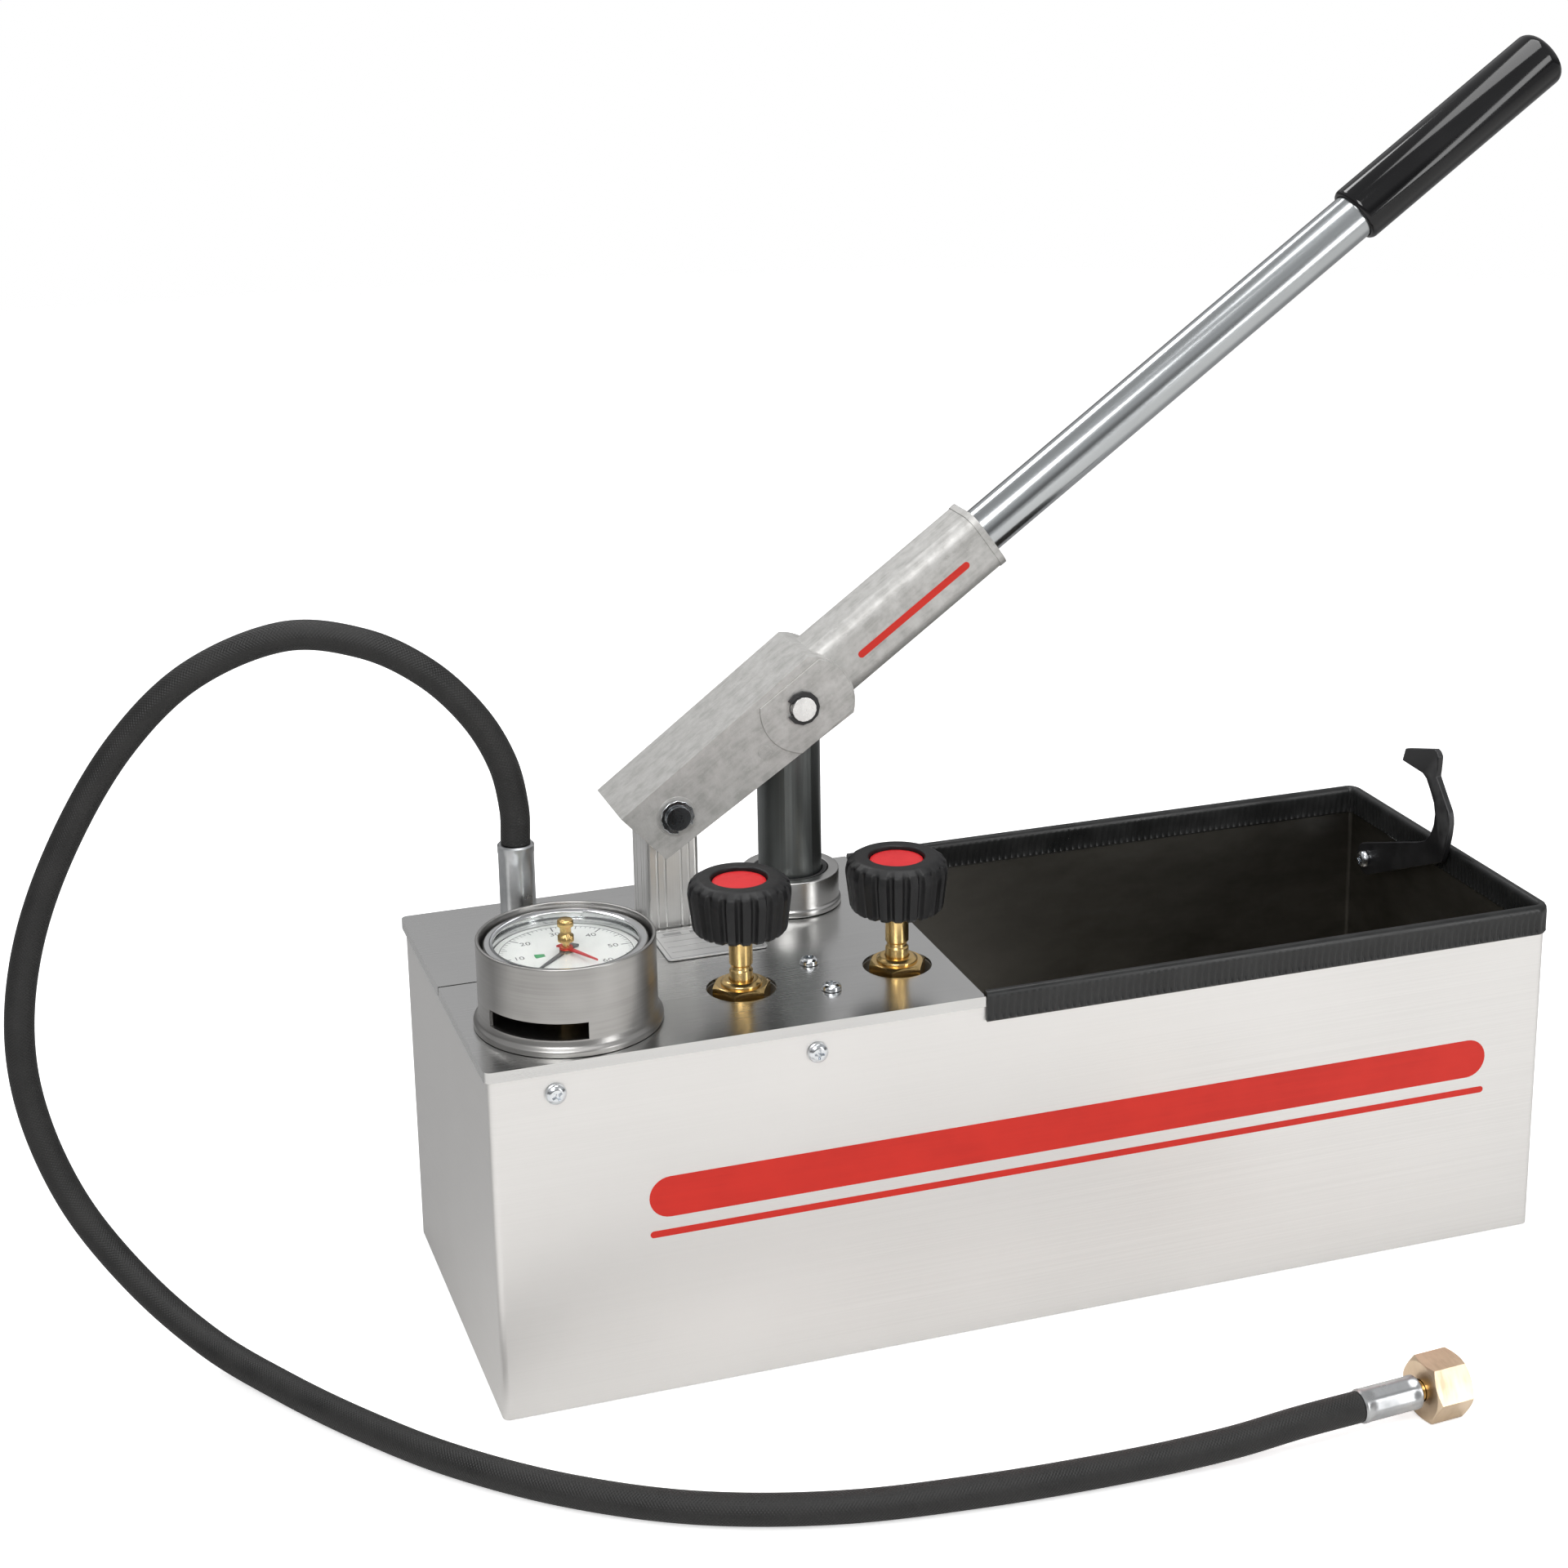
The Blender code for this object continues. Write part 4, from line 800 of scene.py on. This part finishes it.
def rim_path(left, outset, corner, pitch):
    """Places along the edging's outer face from front to back, each with its way out."""
    outer, wide = TANK_HIGH.x + outset, TANK_HIGH.y + outset
    straight, breadth = outer - corner - left, 2 * wide - 2 * corner
    count, across = int(straight / pitch), int(breadth / pitch)

    def bend(start, y):
        angles = [math.radians(start + 9 * i) for i in range(1, 11)]
        ways = [Vector((math.cos(a), math.sin(a), 0)) for a in angles]
        return [(Vector((outer - corner, y, 0)) + corner * way, way) for way in ways]

    front = [(Vector((left + straight * i / count, -wide, 0)), Vector((0, -1, 0)))
             for i in range(count + 1)]
    end = [(Vector((outer, -wide + corner + breadth * i / across, 0)), Vector((1, 0, 0)))
           for i in range(1, across + 1)]
    back = [(Vector((outer - corner - straight * i / count, wide, 0)), Vector((0, 1, 0)))
            for i in range(1, count + 1)]
    return front + bend(-90, -wide + corner) + end + bend(0, wide - corner) + back


def make_trim():
    """The rubber edging, with its pressed cross ribs on both flanks."""
    low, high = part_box("edge_trim")
    bottom, top = low.z, high.z
    outset, thick, rib = 2.0 * MM, 5.0 * MM, 0.7 * MM
    skin = outset - 0.3 * MM
    slit = outset + 1.5 * MM
    slit_top = TANK_HIGH.z + 0.3 * MM
    flank = [(0.0, bottom + z * MM) for z in (0.8, 2.2, 3.6, 5.0, 6.4)]
    shoulder = [(0.1 * MM, top - 3.4 * MM), (0.35 * MM, top - 1.8 * MM), (1.1 * MM, top - 0.6 * MM)]
    outside = flank + shoulder
    under = [(thick - 0.5 * MM, bottom), (thick - skin + 0.2 * MM, bottom), (slit, bottom + MM),
             (slit, slit_top), (skin, slit_top), (skin, bottom + MM), (skin - 0.2 * MM, bottom),
             (0.5 * MM, bottom)]
    section = (outside + [(thick / 2, top)] + [(thick - depth, z) for depth, z in outside[::-1]]
               + under)
    last = 2 * len(outside)
    ribs_out, ribs_in = range(1, len(flank)), range(last - len(flank) + 1, last)
    cage = bmesh.new()
    rings = []
    for row, (point, out) in enumerate(rim_path(low.x, outset, 7.0 * MM, 0.8 * MM)):
        ring = []
        for i, (depth, z) in enumerate(section):
            if row % 4 < 2:
                depth += rib * ((i in ribs_out) - (i in ribs_in))
            place = point - out * depth
            ring.append(cage.verts.new((place.x, place.y, z)))
        rings.append(ring)
    for a, b in zip(rings, rings[1:]):
        join_rings(cage, a, b)
    cage.faces.new(rings[0])
    cage.faces.new(rings[-1][::-1])
    stand_in(made(cage, turn_out=True), "rim_edging", "trim", "edge_trim", sharp=50)


def make_screw(node, base, head, height, shank, depth):
    """A pan-head screw along Z with a cross recess, its seat at zero. Its sizes are in mm."""
    head, height, shank, depth = (value * MM for value in (head, height, shank, depth))
    profile = rounded([(0, height), (head * 0.62, height), (head * 0.93, height * 0.62),
                       (head, height * 0.2), (head, 0.0)], 0.5 * MM)
    profile += [(shank, 0.0), (shank, -depth), (0, -depth)]
    mesh = lathe(profile, 48)
    arm, slot = head * 0.50, head * 0.13
    for x, y in ((arm, slot), (slot, arm)):
        mesh = shaped(mesh, ("cut", block((-x, -y, height - 1.5 * MM), (x, y, height + MM))))
    pit = lathe([(0, height + MM), (head * 0.26, height + MM), (head * 0.24, height),
                 (0, height - 2.0 * MM)], 24)
    stand_in(shaped(mesh, ("cut", pit)), node + "_head", "zinc", node, base, sharp=40)


def make_screws():
    """The screws of the cover, the pump block and the hook, each turned its own way."""
    seat = 0.3 * MM
    for turn, (node, place) in enumerate(COVER_SCREWS):
        side = math.copysign(1, place.y)
        base = facing((place.x, side * (TANK_HIGH.y + seat), place.z), (0, side, 0))
        make_screw(node, base @ Matrix.Rotation(0.5 + turn, 4, "Z"), 4.4, 2.6, 2.0, 8)
    for turn, node in enumerate(("block_screw_1", "block_screw_2")):
        base = Matrix.Translation(on_axis(node, COVER_TOP + seat))
        make_screw(node, base @ Matrix.Rotation(0.3 + turn, 4, "Z"), 4.2, 2.6, 2.0, 12)
    low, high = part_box("hook_screw")
    head = 3.0
    base = facing((low.x + head * MM, (low.y + high.y) / 2, (low.z + high.z) / 2), (-1, 0, 0))
    make_screw("hook_screw", base, 4.3, head, 2.5, (high.x - low.x) / MM - head)


def make_rating_plate():
    """A plain etched plate: a border, rules and empty fields, without any text."""
    low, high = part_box("rating_plate")
    outline = rounded_box_outline(low.xy, high.xy, 2.0 * MM)
    stand_in(prism(outline, low.z, high.z), "etched_plate", "plate", "rating_plate",
             soften=0.1 * MM)
    margin, line, rows = 1.6 * MM, 0.35 * MM, 5
    x0, y0 = low.x + margin, low.y + margin
    x1, y1 = high.x - margin, high.y - margin
    marks = [((x0, y0), (x1, y0 + line)), ((x0, y1 - line), (x1, y1)),
             ((x0, y0), (x0 + line, y1)), ((x1 - line, y0), (x1, y1))]
    for i in range(1, rows):
        y = y0 + (y1 - y0) * i / rows
        marks.append(((x0 + 2 * MM, y), (x1 - (2 + 7 * (i % 2)) * MM, y + line)))
    for i in range(3):
        x = x0 + (4 + 12 * i) * MM
        marks.append(((x, y1 - 4.6 * MM), (x + 8 * MM, y1 - 2.2 * MM)))
    cage = bmesh.new()
    for start, end in marks:
        add_box(cage, (*start, high.z - 0.005 * MM), (*end, high.z + 0.045 * MM))
    finish_piece(made(cage), "plate_print", "grey_ink", "frame")


# ---- cylinder and piston

def make_cylinder():
    """The cylinder's collar and barrel, and the refined pieces in and below it."""
    low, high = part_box("cylinder")
    seat, floor, step = COVER_TOP + 0.3 * MM, low.z + 5 * MM, high.z - 3.5 * MM
    bore, mouth, collar, barrel, foot, inlet = (r * MM for r in (14.7, 17, 21.9, 18, 22.8, 3))
    outer = rounded([(mouth, step), (mouth, high.z), (collar, high.z), (collar, 0.1588),
                     (foot, 0.1576), (foot, seat), (barrel, seat)], 0.7 * MM)
    inner = [(barrel, low.z), (inlet, low.z), (inlet, floor), (bore, floor), (bore, step)]
    stand_in(lathe(outer + inner, 128, closed=True), "cylinder_collar",
             "turned_steel", "cylinder", Matrix.Translation(on_axis("cylinder")), sharp=30)
    for node, look, soften in (
            ("wiper_ring", "seal", 0.3), ("piston", "piston", 0.35), ("piston_seal", "seal", 0.3),
            ("suction_tube", "zinc", 0.15), ("suction_strainer", "zinc", 0.15),
            ("inlet_ball", "pin", 0.0), ("pump_block", "block", 0.6), ("link_pin", "pin", 0.3)):
        refine(node, look, soften * MM)


# ---- lever, handle and link

def make_lever():
    """The cast lever: cheeks, top and sleeve, with raised pads round its pins."""
    fulcrum = LEVER.inverted() @ FULCRUM
    half, inner = 21 * MM, 16 * MM
    cheek = half - 0.6 * MM
    root = cheek - 0.3 * MM
    ear_centre = (2 * MM, -1 * MM)
    ear = arc(ear_centre, 22.5 * MM, 52, -50, 30)
    outline = [(-91.5 * MM, 14.8 * MM), *ear, (-87.7 * MM, -13.8 * MM)][::-1]
    side = SLEEVE_SIDE / 2

    def square(reach, radius):
        return rounded_box_outline((-reach, SLEEVE_DROP - reach), (reach, SLEEVE_DROP + reach),
                                   radius, 10)

    pin_holes = [("cut", rod((x, -0.03, z), (0, 1, 0), PIN_BORE, 0.06))
                 for x, z in ((0, 0), fulcrum.xz)]
    mesh = shaped(
        prism(outline, -cheek, cheek, "XZ"),
        ("cut", block((-0.1, -inner, -0.04), (17.8 * MM, inner, 11.6 * MM))),
        ("add", prism(square(side, 7 * MM), 18.5 * MM, SLEEVE_END, "YZ")),
        ("add", prism(square(side + 0.4 * MM, 7.4 * MM), SLEEVE_END - 3 * MM, SLEEVE_END, "YZ")),
        ("cut", rod((50 * MM, 0, SLEEVE_DROP), (1, 0, 0), 11.3 * MM, 80 * MM)), *pin_holes)
    stand_in(mesh, "lever_casting", "cast", "lever", LEVER, soften=0.8 * MM)

    def raised(mesh, name, soften):
        finish_piece(mesh, name, "cast", "lever_arm", base=LEVER, soften=soften)

    for face, name in ((-1, "near"), (1, "far")):
        low, high = sorted((face * root, face * half))
        disc = prism(arc(ear_centre, 21.6 * MM, 0, 360, 72)[:-1], low, high, "XZ")
        window = block((-20 * MM, -0.03, -17 * MM), (0.03, 0.03, 12.6 * MM))
        raised(shaped(disc, ("keep", window), pin_holes[0]), f"ear_pad_{name}", 0.25 * MM)
        boss = rod((fulcrum.x, face * root, fulcrum.z), (0, face, 0), 9 * MM, 0.55 * MM)
        raised(shaped(boss, pin_holes[1]), f"fulcrum_boss_{name}", 0.15 * MM)
        spot = rod((-25 * MM, face * root, -5 * MM), (0, face, 0), 3 * MM, 0.5 * MM, 40)
        raised(spot, f"casting_mark_{name}", 0.1 * MM)
    stripe = rounded_box_outline(*in_mm((34, -3.6), (98, -0.2)), 1.7 * MM)
    finish_piece(prism(stripe, -side - 0.08 * MM, -side + 0.02 * MM, "XZ"),
                 "sleeve_stripe", "red_ink", "lever_arm", base=LEVER)


def make_handle():
    """The chromed tube and the vinyl grip with its rounded end."""
    base = LEVER @ facing((0, 0, SLEEVE_DROP), (1, 0, 0))
    tube_radius, tube_bore, grip_bore = 11 * MM, 9.5 * MM, 11.3 * MM
    tube = lathe([(tube_bore, TUBE_END), (tube_radius, TUBE_END),
                  (tube_radius, TUBE_START), (tube_bore, TUBE_START)], closed=True)
    stand_in(tube, "handle_chrome", "chrome", "handle_tube", base)
    r, turn, pocket = 13.4 * MM, 5.0 * MM, TUBE_END + 0.3 * MM
    angles = [math.radians(10 * i) for i in range(10)]
    profile = [(0, GRIP_END), (r - turn - 3 * MM, GRIP_END - 0.1 * MM)]
    profile += [(r - turn + turn * math.sin(a), GRIP_END - 0.2 * MM - turn + turn * math.cos(a))
                for a in angles]
    profile += [(r - inset * MM, GRIP_START + rise * MM)
                for inset, rise in ((0, 2.2), (0.15, 1.2), (0.7, 0.3), (1.1, 0))]
    profile += [(grip_bore, GRIP_START), (grip_bore, pocket), (0, pocket)]
    stand_in(lathe(profile), "grip_sleeve", "grip", "grip", base, sharp=50)


def make_pins():
    for name, look, clip_look in (("piston", "pin", "black_steel"),
                                  ("fulcrum", "dark_pin", "zinc")):
        refine(name + "_pin", look, 0.35 * MM)
        for number in (1, 2):
            refine(f"{name}_clip_{number}", clip_look, 0.2 * MM)


def make_link():
    """The drawn aluminium link, with shallow grooves down its faces."""
    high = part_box("fulcrum_link")[1]
    x, y, z = centre_of("link_pin")
    half, foot, groove = 12 * MM, 0.12, 0.85 * MM
    out = half + 0.55 * MM
    section = rounded_box_outline((-half, -half), (half, half), 2.2 * MM, 6)
    bar = prism(section, 0.1335, high.z)
    bar.transform(Matrix.Translation((x, y, 0)))
    side = arc((x, FULCRUM.z), half, 0, 180, 40) + [(x - half, foot), (x + half, foot)]
    steps = [("keep", prism(side, y - 0.02, y + 0.02, "XZ"))]
    for offset in (-7.2, -3.6, 3.6, 7.2):
        for face in (-1, 1):
            for place in ((x + offset * MM, y + face * out), (x + face * out, y + offset * MM)):
                steps.append(("cut", rod((*place, foot + 5 * MM), (0, 0, 1), groove, 0.12, 16)))
    eye_x, eye_z = x - 2.6 * MM, z - 1.2 * MM
    steps += [("add", rod((eye_x, y - half, eye_z), (0, 1, 0), 13.5 * MM, 2 * half)),
              ("cut", rod((eye_x, y - half - MM, eye_z), (0, 1, 0), 9 * MM, 2 * half + 2 * MM)),
              ("cut", rod((FULCRUM.x, 0, FULCRUM.z), (0, 1, 0), PIN_BORE, 0.1))]
    stand_in(shaped(bar, *steps), "link_bar", "link", "fulcrum_link", soften=0.3 * MM)


# ---- transport hook

def make_hook():
    """The transport hook: a bent strap with a short nose and an eye for its screw."""
    low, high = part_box("latch_hook")
    eye = (58.0, 128.0)
    outline = in_mm(
        *arc(eye, 8.0, 66, -116, 24),
        (-9.0, 150.0), (-11.3, 154.8), (-13.0, 160.0), (-14.4, 165.5), (-15.0, 171.0),
        (-14.6, 174.2), (-13.5, 177.0), (-7.7, 183.7), (-2.0, 190.5), (-2.6, 195.4),
        (-3.0, 200.3), (-1.3, 202.3), (1.0, 203.0), (26.0, 195.5),
        (28.4, 188.8), (10.0, 188.2), (6.5, 186.6), (2.6, 181.8), (-0.8, 177.0),
        (-2.2, 172.0), (-1.6, 166.5), (1.0, 160.5), (5.5, 156.0), (12.0, 153.0))
    strap = prism(outline, low.x, high.x, "YZ")
    hole = rod((low.x - 2 * MM, eye[0] * MM, eye[1] * MM), (1, 0, 0), HOOK_BORE, 8 * MM)
    stand_in(shaped(strap, ("cut", hole)), "hook_strap", "black_steel", "latch_hook",
             soften=0.5 * MM)


# ---- valves

def fluted(radius, height, angle):
    """The knob's round grooves, which run out below its top edge."""
    edge = 203.9 * MM
    if radius < 17 * MM or height > edge:
        return radius
    depth = 1.9 * MM * min(1.0, (edge - height) / (4.0 * MM))
    from_groove = abs((angle * FLUTES / math.tau) % 1.0 - 0.5) * 2
    reach = 0.42
    if from_groove > reach:
        return radius
    return radius - depth * math.sqrt(1 - (from_groove / reach) ** 2)


def knob_mesh():
    """The knob, with rings close enough for its flutes."""
    profile = rounded(in_mm((0, 201.2), (11.8, 201.2), (11.8, 204.5), (17.2, 204.5),
                            (20.9, 202.2), (21.8, 198.2), (19.9, 182.6), (18.4, 181),
                            (5.3, 181)), 1.1 * MM, 5)
    dense = []
    for (r0, z0), (r1, z1) in zip(profile, profile[1:]):
        parts = max(1, int(abs(z1 - z0) / (2.5 * MM)))
        dense += [(r0 + (r1 - r0) * i / parts, z0 + (z1 - z0) * i / parts)
                  for i in range(parts)]
    dense += [profile[-1], *in_mm((5.3, 198.8), (0, 198.8))]
    return lathe(dense, FLUTES * 16, shape=fluted)


def gland_mesh():
    """The hexagon nut with its round boss, bored for the stem."""
    low, top = 145.8 * MM, 159.5 * MM
    radius, neck, root = 8.8 * MM, 7.2 * MM, low + 9 * MM
    boss = lathe(rounded([(0, top), (neck, top), (radius, top - 1.2 * MM),
                          (radius, root), (0, root)], 0.5 * MM), 72)
    nut = hex_nut(22 * MM, 11.6 * MM)
    nut.transform(Matrix.Translation((0, 0, low)))
    return shaped(nut, ("add", boss), ("cut", rod((0, 0, 0.14), (0, 0, 1), 5.3 * MM, 0.03)))


def make_valves():
    """Gland nuts, stems, fluted knobs and their red caps."""
    knob, nut = knob_mesh(), gland_mesh()
    cap = lathe(rounded(in_mm((0, 203.2), (9.8, 203.1), (11.4, 202.7), (11.4, 201.5),
                              (0, 201.5)), 0.5 * MM), 72)
    stem = lathe(rounded(in_mm((0, 198.4), (5, 198.4), (5, 166.4), (4.3, 165.6),
                               (4.3, 164.2), (5, 163.4), (5, 125), (1.5, 120),
                               (0, 120)), 0.25 * MM), 64)
    for number, spin in ((1, 0.15), (2, 0.62)):
        base = Matrix.Translation(on_axis(f"valve_stem_{number}"))
        spun = base @ Matrix.Rotation(spin, 4, "Z")
        stand_in(knob.copy(), f"knob_{number}", "knob", f"valve_knob_{number}", spun, sharp=50)
        stand_in(cap.copy(), f"red_cap_{number}", "red", f"knob_cap_{number}", base, sharp=40)
        stand_in(stem.copy(), f"stem_{number}", "brass", f"valve_stem_{number}", base)
        stand_in(nut.copy(), f"gland_{number}", "brass", f"gland_nut_{number}", base, sharp=30)


# ---- gauge

def make_guard(base):
    """The steel guard, with its flared foot and the window low in its wall."""
    low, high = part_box("gauge_guard")
    r, sheet = 36.7 * MM, 1.5 * MM
    flare = r + 2.2 * MM
    wall = rounded([(r - sheet, low.z + sheet), (r - sheet, high.z), (r, high.z),
                    (r, 161.2 * MM), (r + 0.7 * MM, 158.8 * MM), (flare, 157.4 * MM),
                    (flare, low.z)], 0.6 * MM)
    bore = 6.6 * MM
    mesh = lathe(wall + [(bore, low.z), (bore, low.z + sheet)], 160, closed=True)
    window = arc((0, 0), r + 8 * MM, -163, -91, 24) + arc((0, 0), r - 8 * MM, -91, -163, 24)
    mesh = shaped(mesh, ("cut", prism(window, 161.6 * MM, 168.8 * MM)))
    stand_in(mesh, "guard_ring", "guard", "gauge_guard", base, sharp=30)


def dial_angle(share):
    """Where a share of the scale lies on the dial."""
    return math.radians(DIAL_START - DIAL_SWEEP * share)


def make_dial_print(base, top):
    """Ticks, numbers, a ring and a green mark, printed on the dial."""
    cage = bmesh.new()
    rise = 0.03 * MM

    def stroke(share, inner, outer, width):
        verts = add_box(cage, (inner, -width / 2, top - rise), (outer, width / 2, top + rise))
        bmesh.ops.transform(cage, matrix=Matrix.Rotation(dial_angle(share), 4, "Z"), verts=verts)

    divisions, ring_parts = 60, 90
    scale, ring = 27.2 * MM, 27.5 * MM
    for i in range(divisions + 1):
        inner, width = (23.0, 0.55) if i % 10 == 0 else (24.4, 0.38) if i % 5 == 0 else (25.6, 0.22)
        stroke(i / divisions, inner * MM, scale, width * MM)
    part = 27.4 * MM * math.radians(DIAL_SWEEP / ring_parts) * 1.04
    for i in range(ring_parts):
        stroke((i + 0.5) / ring_parts, scale, ring, part)
    finish_piece(made(cage), "dial_ticks", "ink", "frame", base=base)

    for i in range(7):
        text = bpy.data.curves.new(f"number_{i}", "FONT")
        text.body = str(10 * i)
        text.size = 4.6 * MM
        text.extrude = rise
        text.align_x = text.align_y = "CENTER"
        spot = Matrix.Rotation(dial_angle(i / 6), 4, "Z") @ Vector((19.6 * MM, 0, top))
        finish_piece(evaluated(in_scene(f"number_{i}", text)), f"dial_number_{10 * i}", "ink",
                     "frame", base=base @ Matrix.Translation(spot))
    green = arc((0, 0), 13.2 * MM, 172, 190, 6) + arc((0, 0), 9.0 * MM, 190, 172, 6)
    finish_piece(prism(green, top - rise, top + rise), "dial_green_mark", "green_ink",
                 "frame", base=base)


def pointer_blade(length, tail, low, high, turn):
    """A tapered pointer with a counterweight, round Z."""
    width, tip = 1.8 * MM, 0.12 * MM
    edge = [(length, tip), (3 * MM, width / 2), (-tail * 0.55, width / 2), (-tail, width)]
    outline = edge + [(u, -v) for u, v in edge[::-1]]
    blade = prism(outline[::-1], low, high)
    blade.transform(Matrix.Rotation(turn, 4, "Z"))
    hub = rod((0, 0, low - 0.01 * MM), (0, 0, 1), 2.8 * MM, high - low + 0.02 * MM, 48)
    return shaped(hub, ("add", blade))


def knurled(radius, height, angle):
    if radius > 3.2 * MM:
        return radius - 0.18 * MM * (0.5 + 0.5 * math.cos(30 * angle))
    return radius


def make_gauge():
    here = Matrix.Translation(on_axis("gauge_guard"))
    make_guard(here)
    case = rounded(in_mm((30.5, 169.4), (30.5, 186), (31.5, 186), (31.5, 168.6), (30.5, 168),
                         (2.5, 168)), 0.4 * MM) + in_mm((2.5, 169.4))
    stand_in(lathe(case, closed=True), "case_cup", "bezel", "gauge_case", here)
    bezel = rounded(in_mm((29.6, 188.9), (29.6, 189.5), (31.0, 190), (33.2, 190), (34, 188.8),
                          (34, 184.5), (31.8, 184.5)), 0.6 * MM) + in_mm((31.8, 188.9))
    stand_in(lathe(bezel, 128, closed=True), "bezel_ring", "bezel", "gauge_bezel", here, sharp=50)
    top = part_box("gauge_dial")[1].z
    dial = [(r * MM, z) for r, z in ((1.7, top), (30.1, top), (30.1, top - 0.8 * MM),
                                     (1.7, top - 0.8 * MM))]
    stand_in(lathe(dial, closed=True), "dial_face", "dial", "gauge_dial", here)
    make_dial_print(here, top)
    glass = in_mm((1.9, 188.6), (30.8, 188.6), (30.8, 187), (1.9, 187))
    stand_in(lathe(glass, closed=True), "window_glass", "glass", "gauge_glass", here)
    refine("gauge_socket", "brass", 0.2 * MM)
    refine("gauge_movement", "brass", 0.2 * MM)

    shaft = rod((0, 0, 179 * MM), (0, 0, 1), 1.2 * MM, 5.5 * MM, 24)
    needle = pointer_blade(25 * MM, 7 * MM, 184.1 * MM, 185 * MM, dial_angle(0))
    stand_in(shaped(needle, ("add", shaft)), "needle", "ink", "gauge_pointer", here)
    drag = pointer_blade(19 * MM, 4 * MM, 185.4 * MM, 186.2 * MM, math.radians(-62))
    stand_in(drag, "red_pointer", "red", "drag_pointer", here)
    reset = in_mm((0, 198.4), (2.7, 198.4), (3.3, 197.8), (3.3, 195.6), (2.3, 194.8),
                  (2.3, 192.2), (3.3, 191.4), (3.3, 189.0), (1.5, 188.9), (1.5, 186.5),
                  (0, 186.5))
    stand_in(lathe(reset, 120, shape=knurled), "reset_brass", "brass", "reset_knob", here, sharp=50)


# ---- stage and light

def make_floor():
    """A plain pale floor. What the metal mirrors of it is painted light and shade: bright in front
    and dimmer behind.
    """
    cage = bmesh.new()
    bmesh.ops.create_circle(cage, cap_ends=True, segments=96, radius=FLOOR_RADIUS)
    mesh = made(cage)
    material, tree, shader, place = new_material("floor_paper")
    fibres = noise(tree, place, 400, detail=2.0)
    clouds = noise(tree, place, 3)
    paper = blend(tree, ranged(tree, clouds), (0.90, 0.90, 0.90), (0.885, 0.885, 0.88))
    # Painted light and shade that only reflections see: a painted pool of light in front, painted
    # shade behind.
    forward = add(tree, "SeparateXYZ", {0: place}).outputs[1]
    depth = ranged(tree, forward, 0.0, 1.0, -0.15, 0.12)
    painted_light_for_reflections = blend(tree, depth, (0.80, 0.79, 0.775), (0.36, 0.36, 0.36))
    seen = add(tree, "LightPath").outputs["Is Camera Ray"]
    far = add(tree, "VectorMath", {0: place}, operation="LENGTH").outputs["Value"]
    feed(tree, shader.inputs["Base Color"], blend(tree, seen, painted_light_for_reflections, paper))
    feed(tree, shader.inputs["Normal"], bumped(tree, fibres, 20 * MICRON))
    feed(tree, shader.inputs["Emission Strength"], ranged(tree, seen, 0.0, 0.54, 0.0, 1.0))
    feed(tree, shader.inputs["Alpha"], ranged(tree, far, 1.0, 0.0, 1.2, 2.9))
    shader.inputs["Roughness"].default_value = 0.8
    shader.inputs["Emission Color"].default_value = (1.0, 1.0, 1.0, 1.0)
    mesh.materials.append(material)
    floor = in_scene("floor", mesh)
    floor.location = (0, 0, -0.4 * MM)


def make_light(name, place, aim, size, energy):
    data = bpy.data.lights.new(name, "AREA")
    data.shape = "RECTANGLE"
    data.size, data.size_y = size
    data.energy = energy
    lamp = in_scene(name, data)
    lamp.location = place
    lamp.rotation_euler = (Vector(aim) - Vector(place)).to_track_quat("-Z", "Y").to_euler()


def make_world():
    """A pale room: mid grey all round, dark at the horizon and bright overhead."""
    world = bpy.data.worlds.new("studio")
    world.use_nodes = True
    tree = world.node_tree
    upward = add(tree, "SeparateXYZ", {0: add(tree, "TexCoord").outputs["Generated"]}).outputs[2]
    ramp = add(tree, "ValToRGB", {"Fac": ranged(tree, upward, 0.0, 1.0, -1.0, 1.0)})
    stops = ((0.0, 0.55), (0.48, 0.42), (0.52, 0.08), (0.60, 0.20), (0.68, 0.52), (0.80, 0.50),
             (1.0, 0.42))
    while len(ramp.color_ramp.elements) < len(stops):
        ramp.color_ramp.elements.new(0.5)
    for element, (position, value) in zip(ramp.color_ramp.elements, stops):
        element.position = position
        element.color = (value, value, value * 1.01, 1.0)
    seen = add(tree, "LightPath").outputs["Is Camera Ray"]
    feed(tree, tree.nodes["Background"].inputs["Color"],
         blend(tree, seen, ramp.outputs[0], (1.0, 1.0, 1.0)))
    bpy.context.scene.world = world


def make_stage():
    make_floor()
    make_world()
    aim = (0.0, 0.0, 0.15)
    make_light("key", (-1.0, -1.5, 1.7), aim, (0.9, 1.0), 26)
    make_light("fill", (1.1, -1.8, 0.75), (0.1, 0.0, 0.3), (0.35, 1.3), 9)
    make_light("top", (0.2, -0.1, 2.0), aim, (1.2, 0.8), 16)
    make_light("rim", (-0.6, 1.6, 2.2), aim, (0.9, 0.6), 13)
    bpy.context.scene.view_settings.view_transform = "Standard"


# ---- assembly

make_camera()
MATERIALS = make_materials()
make_hose()
make_tank()
make_stripes()
make_cover()
make_trim()
make_screws()
make_rating_plate()
make_cylinder()
make_lever()
make_handle()
make_pins()
make_link()
make_valves()
make_gauge()
refine("hose_nipple", "zinc", 0.25 * MM)
make_hook()
refine("hook_spacer", "zinc", 0.2 * MM)
refine("hook_nut", "zinc", 0.2 * MM)
make_stage()
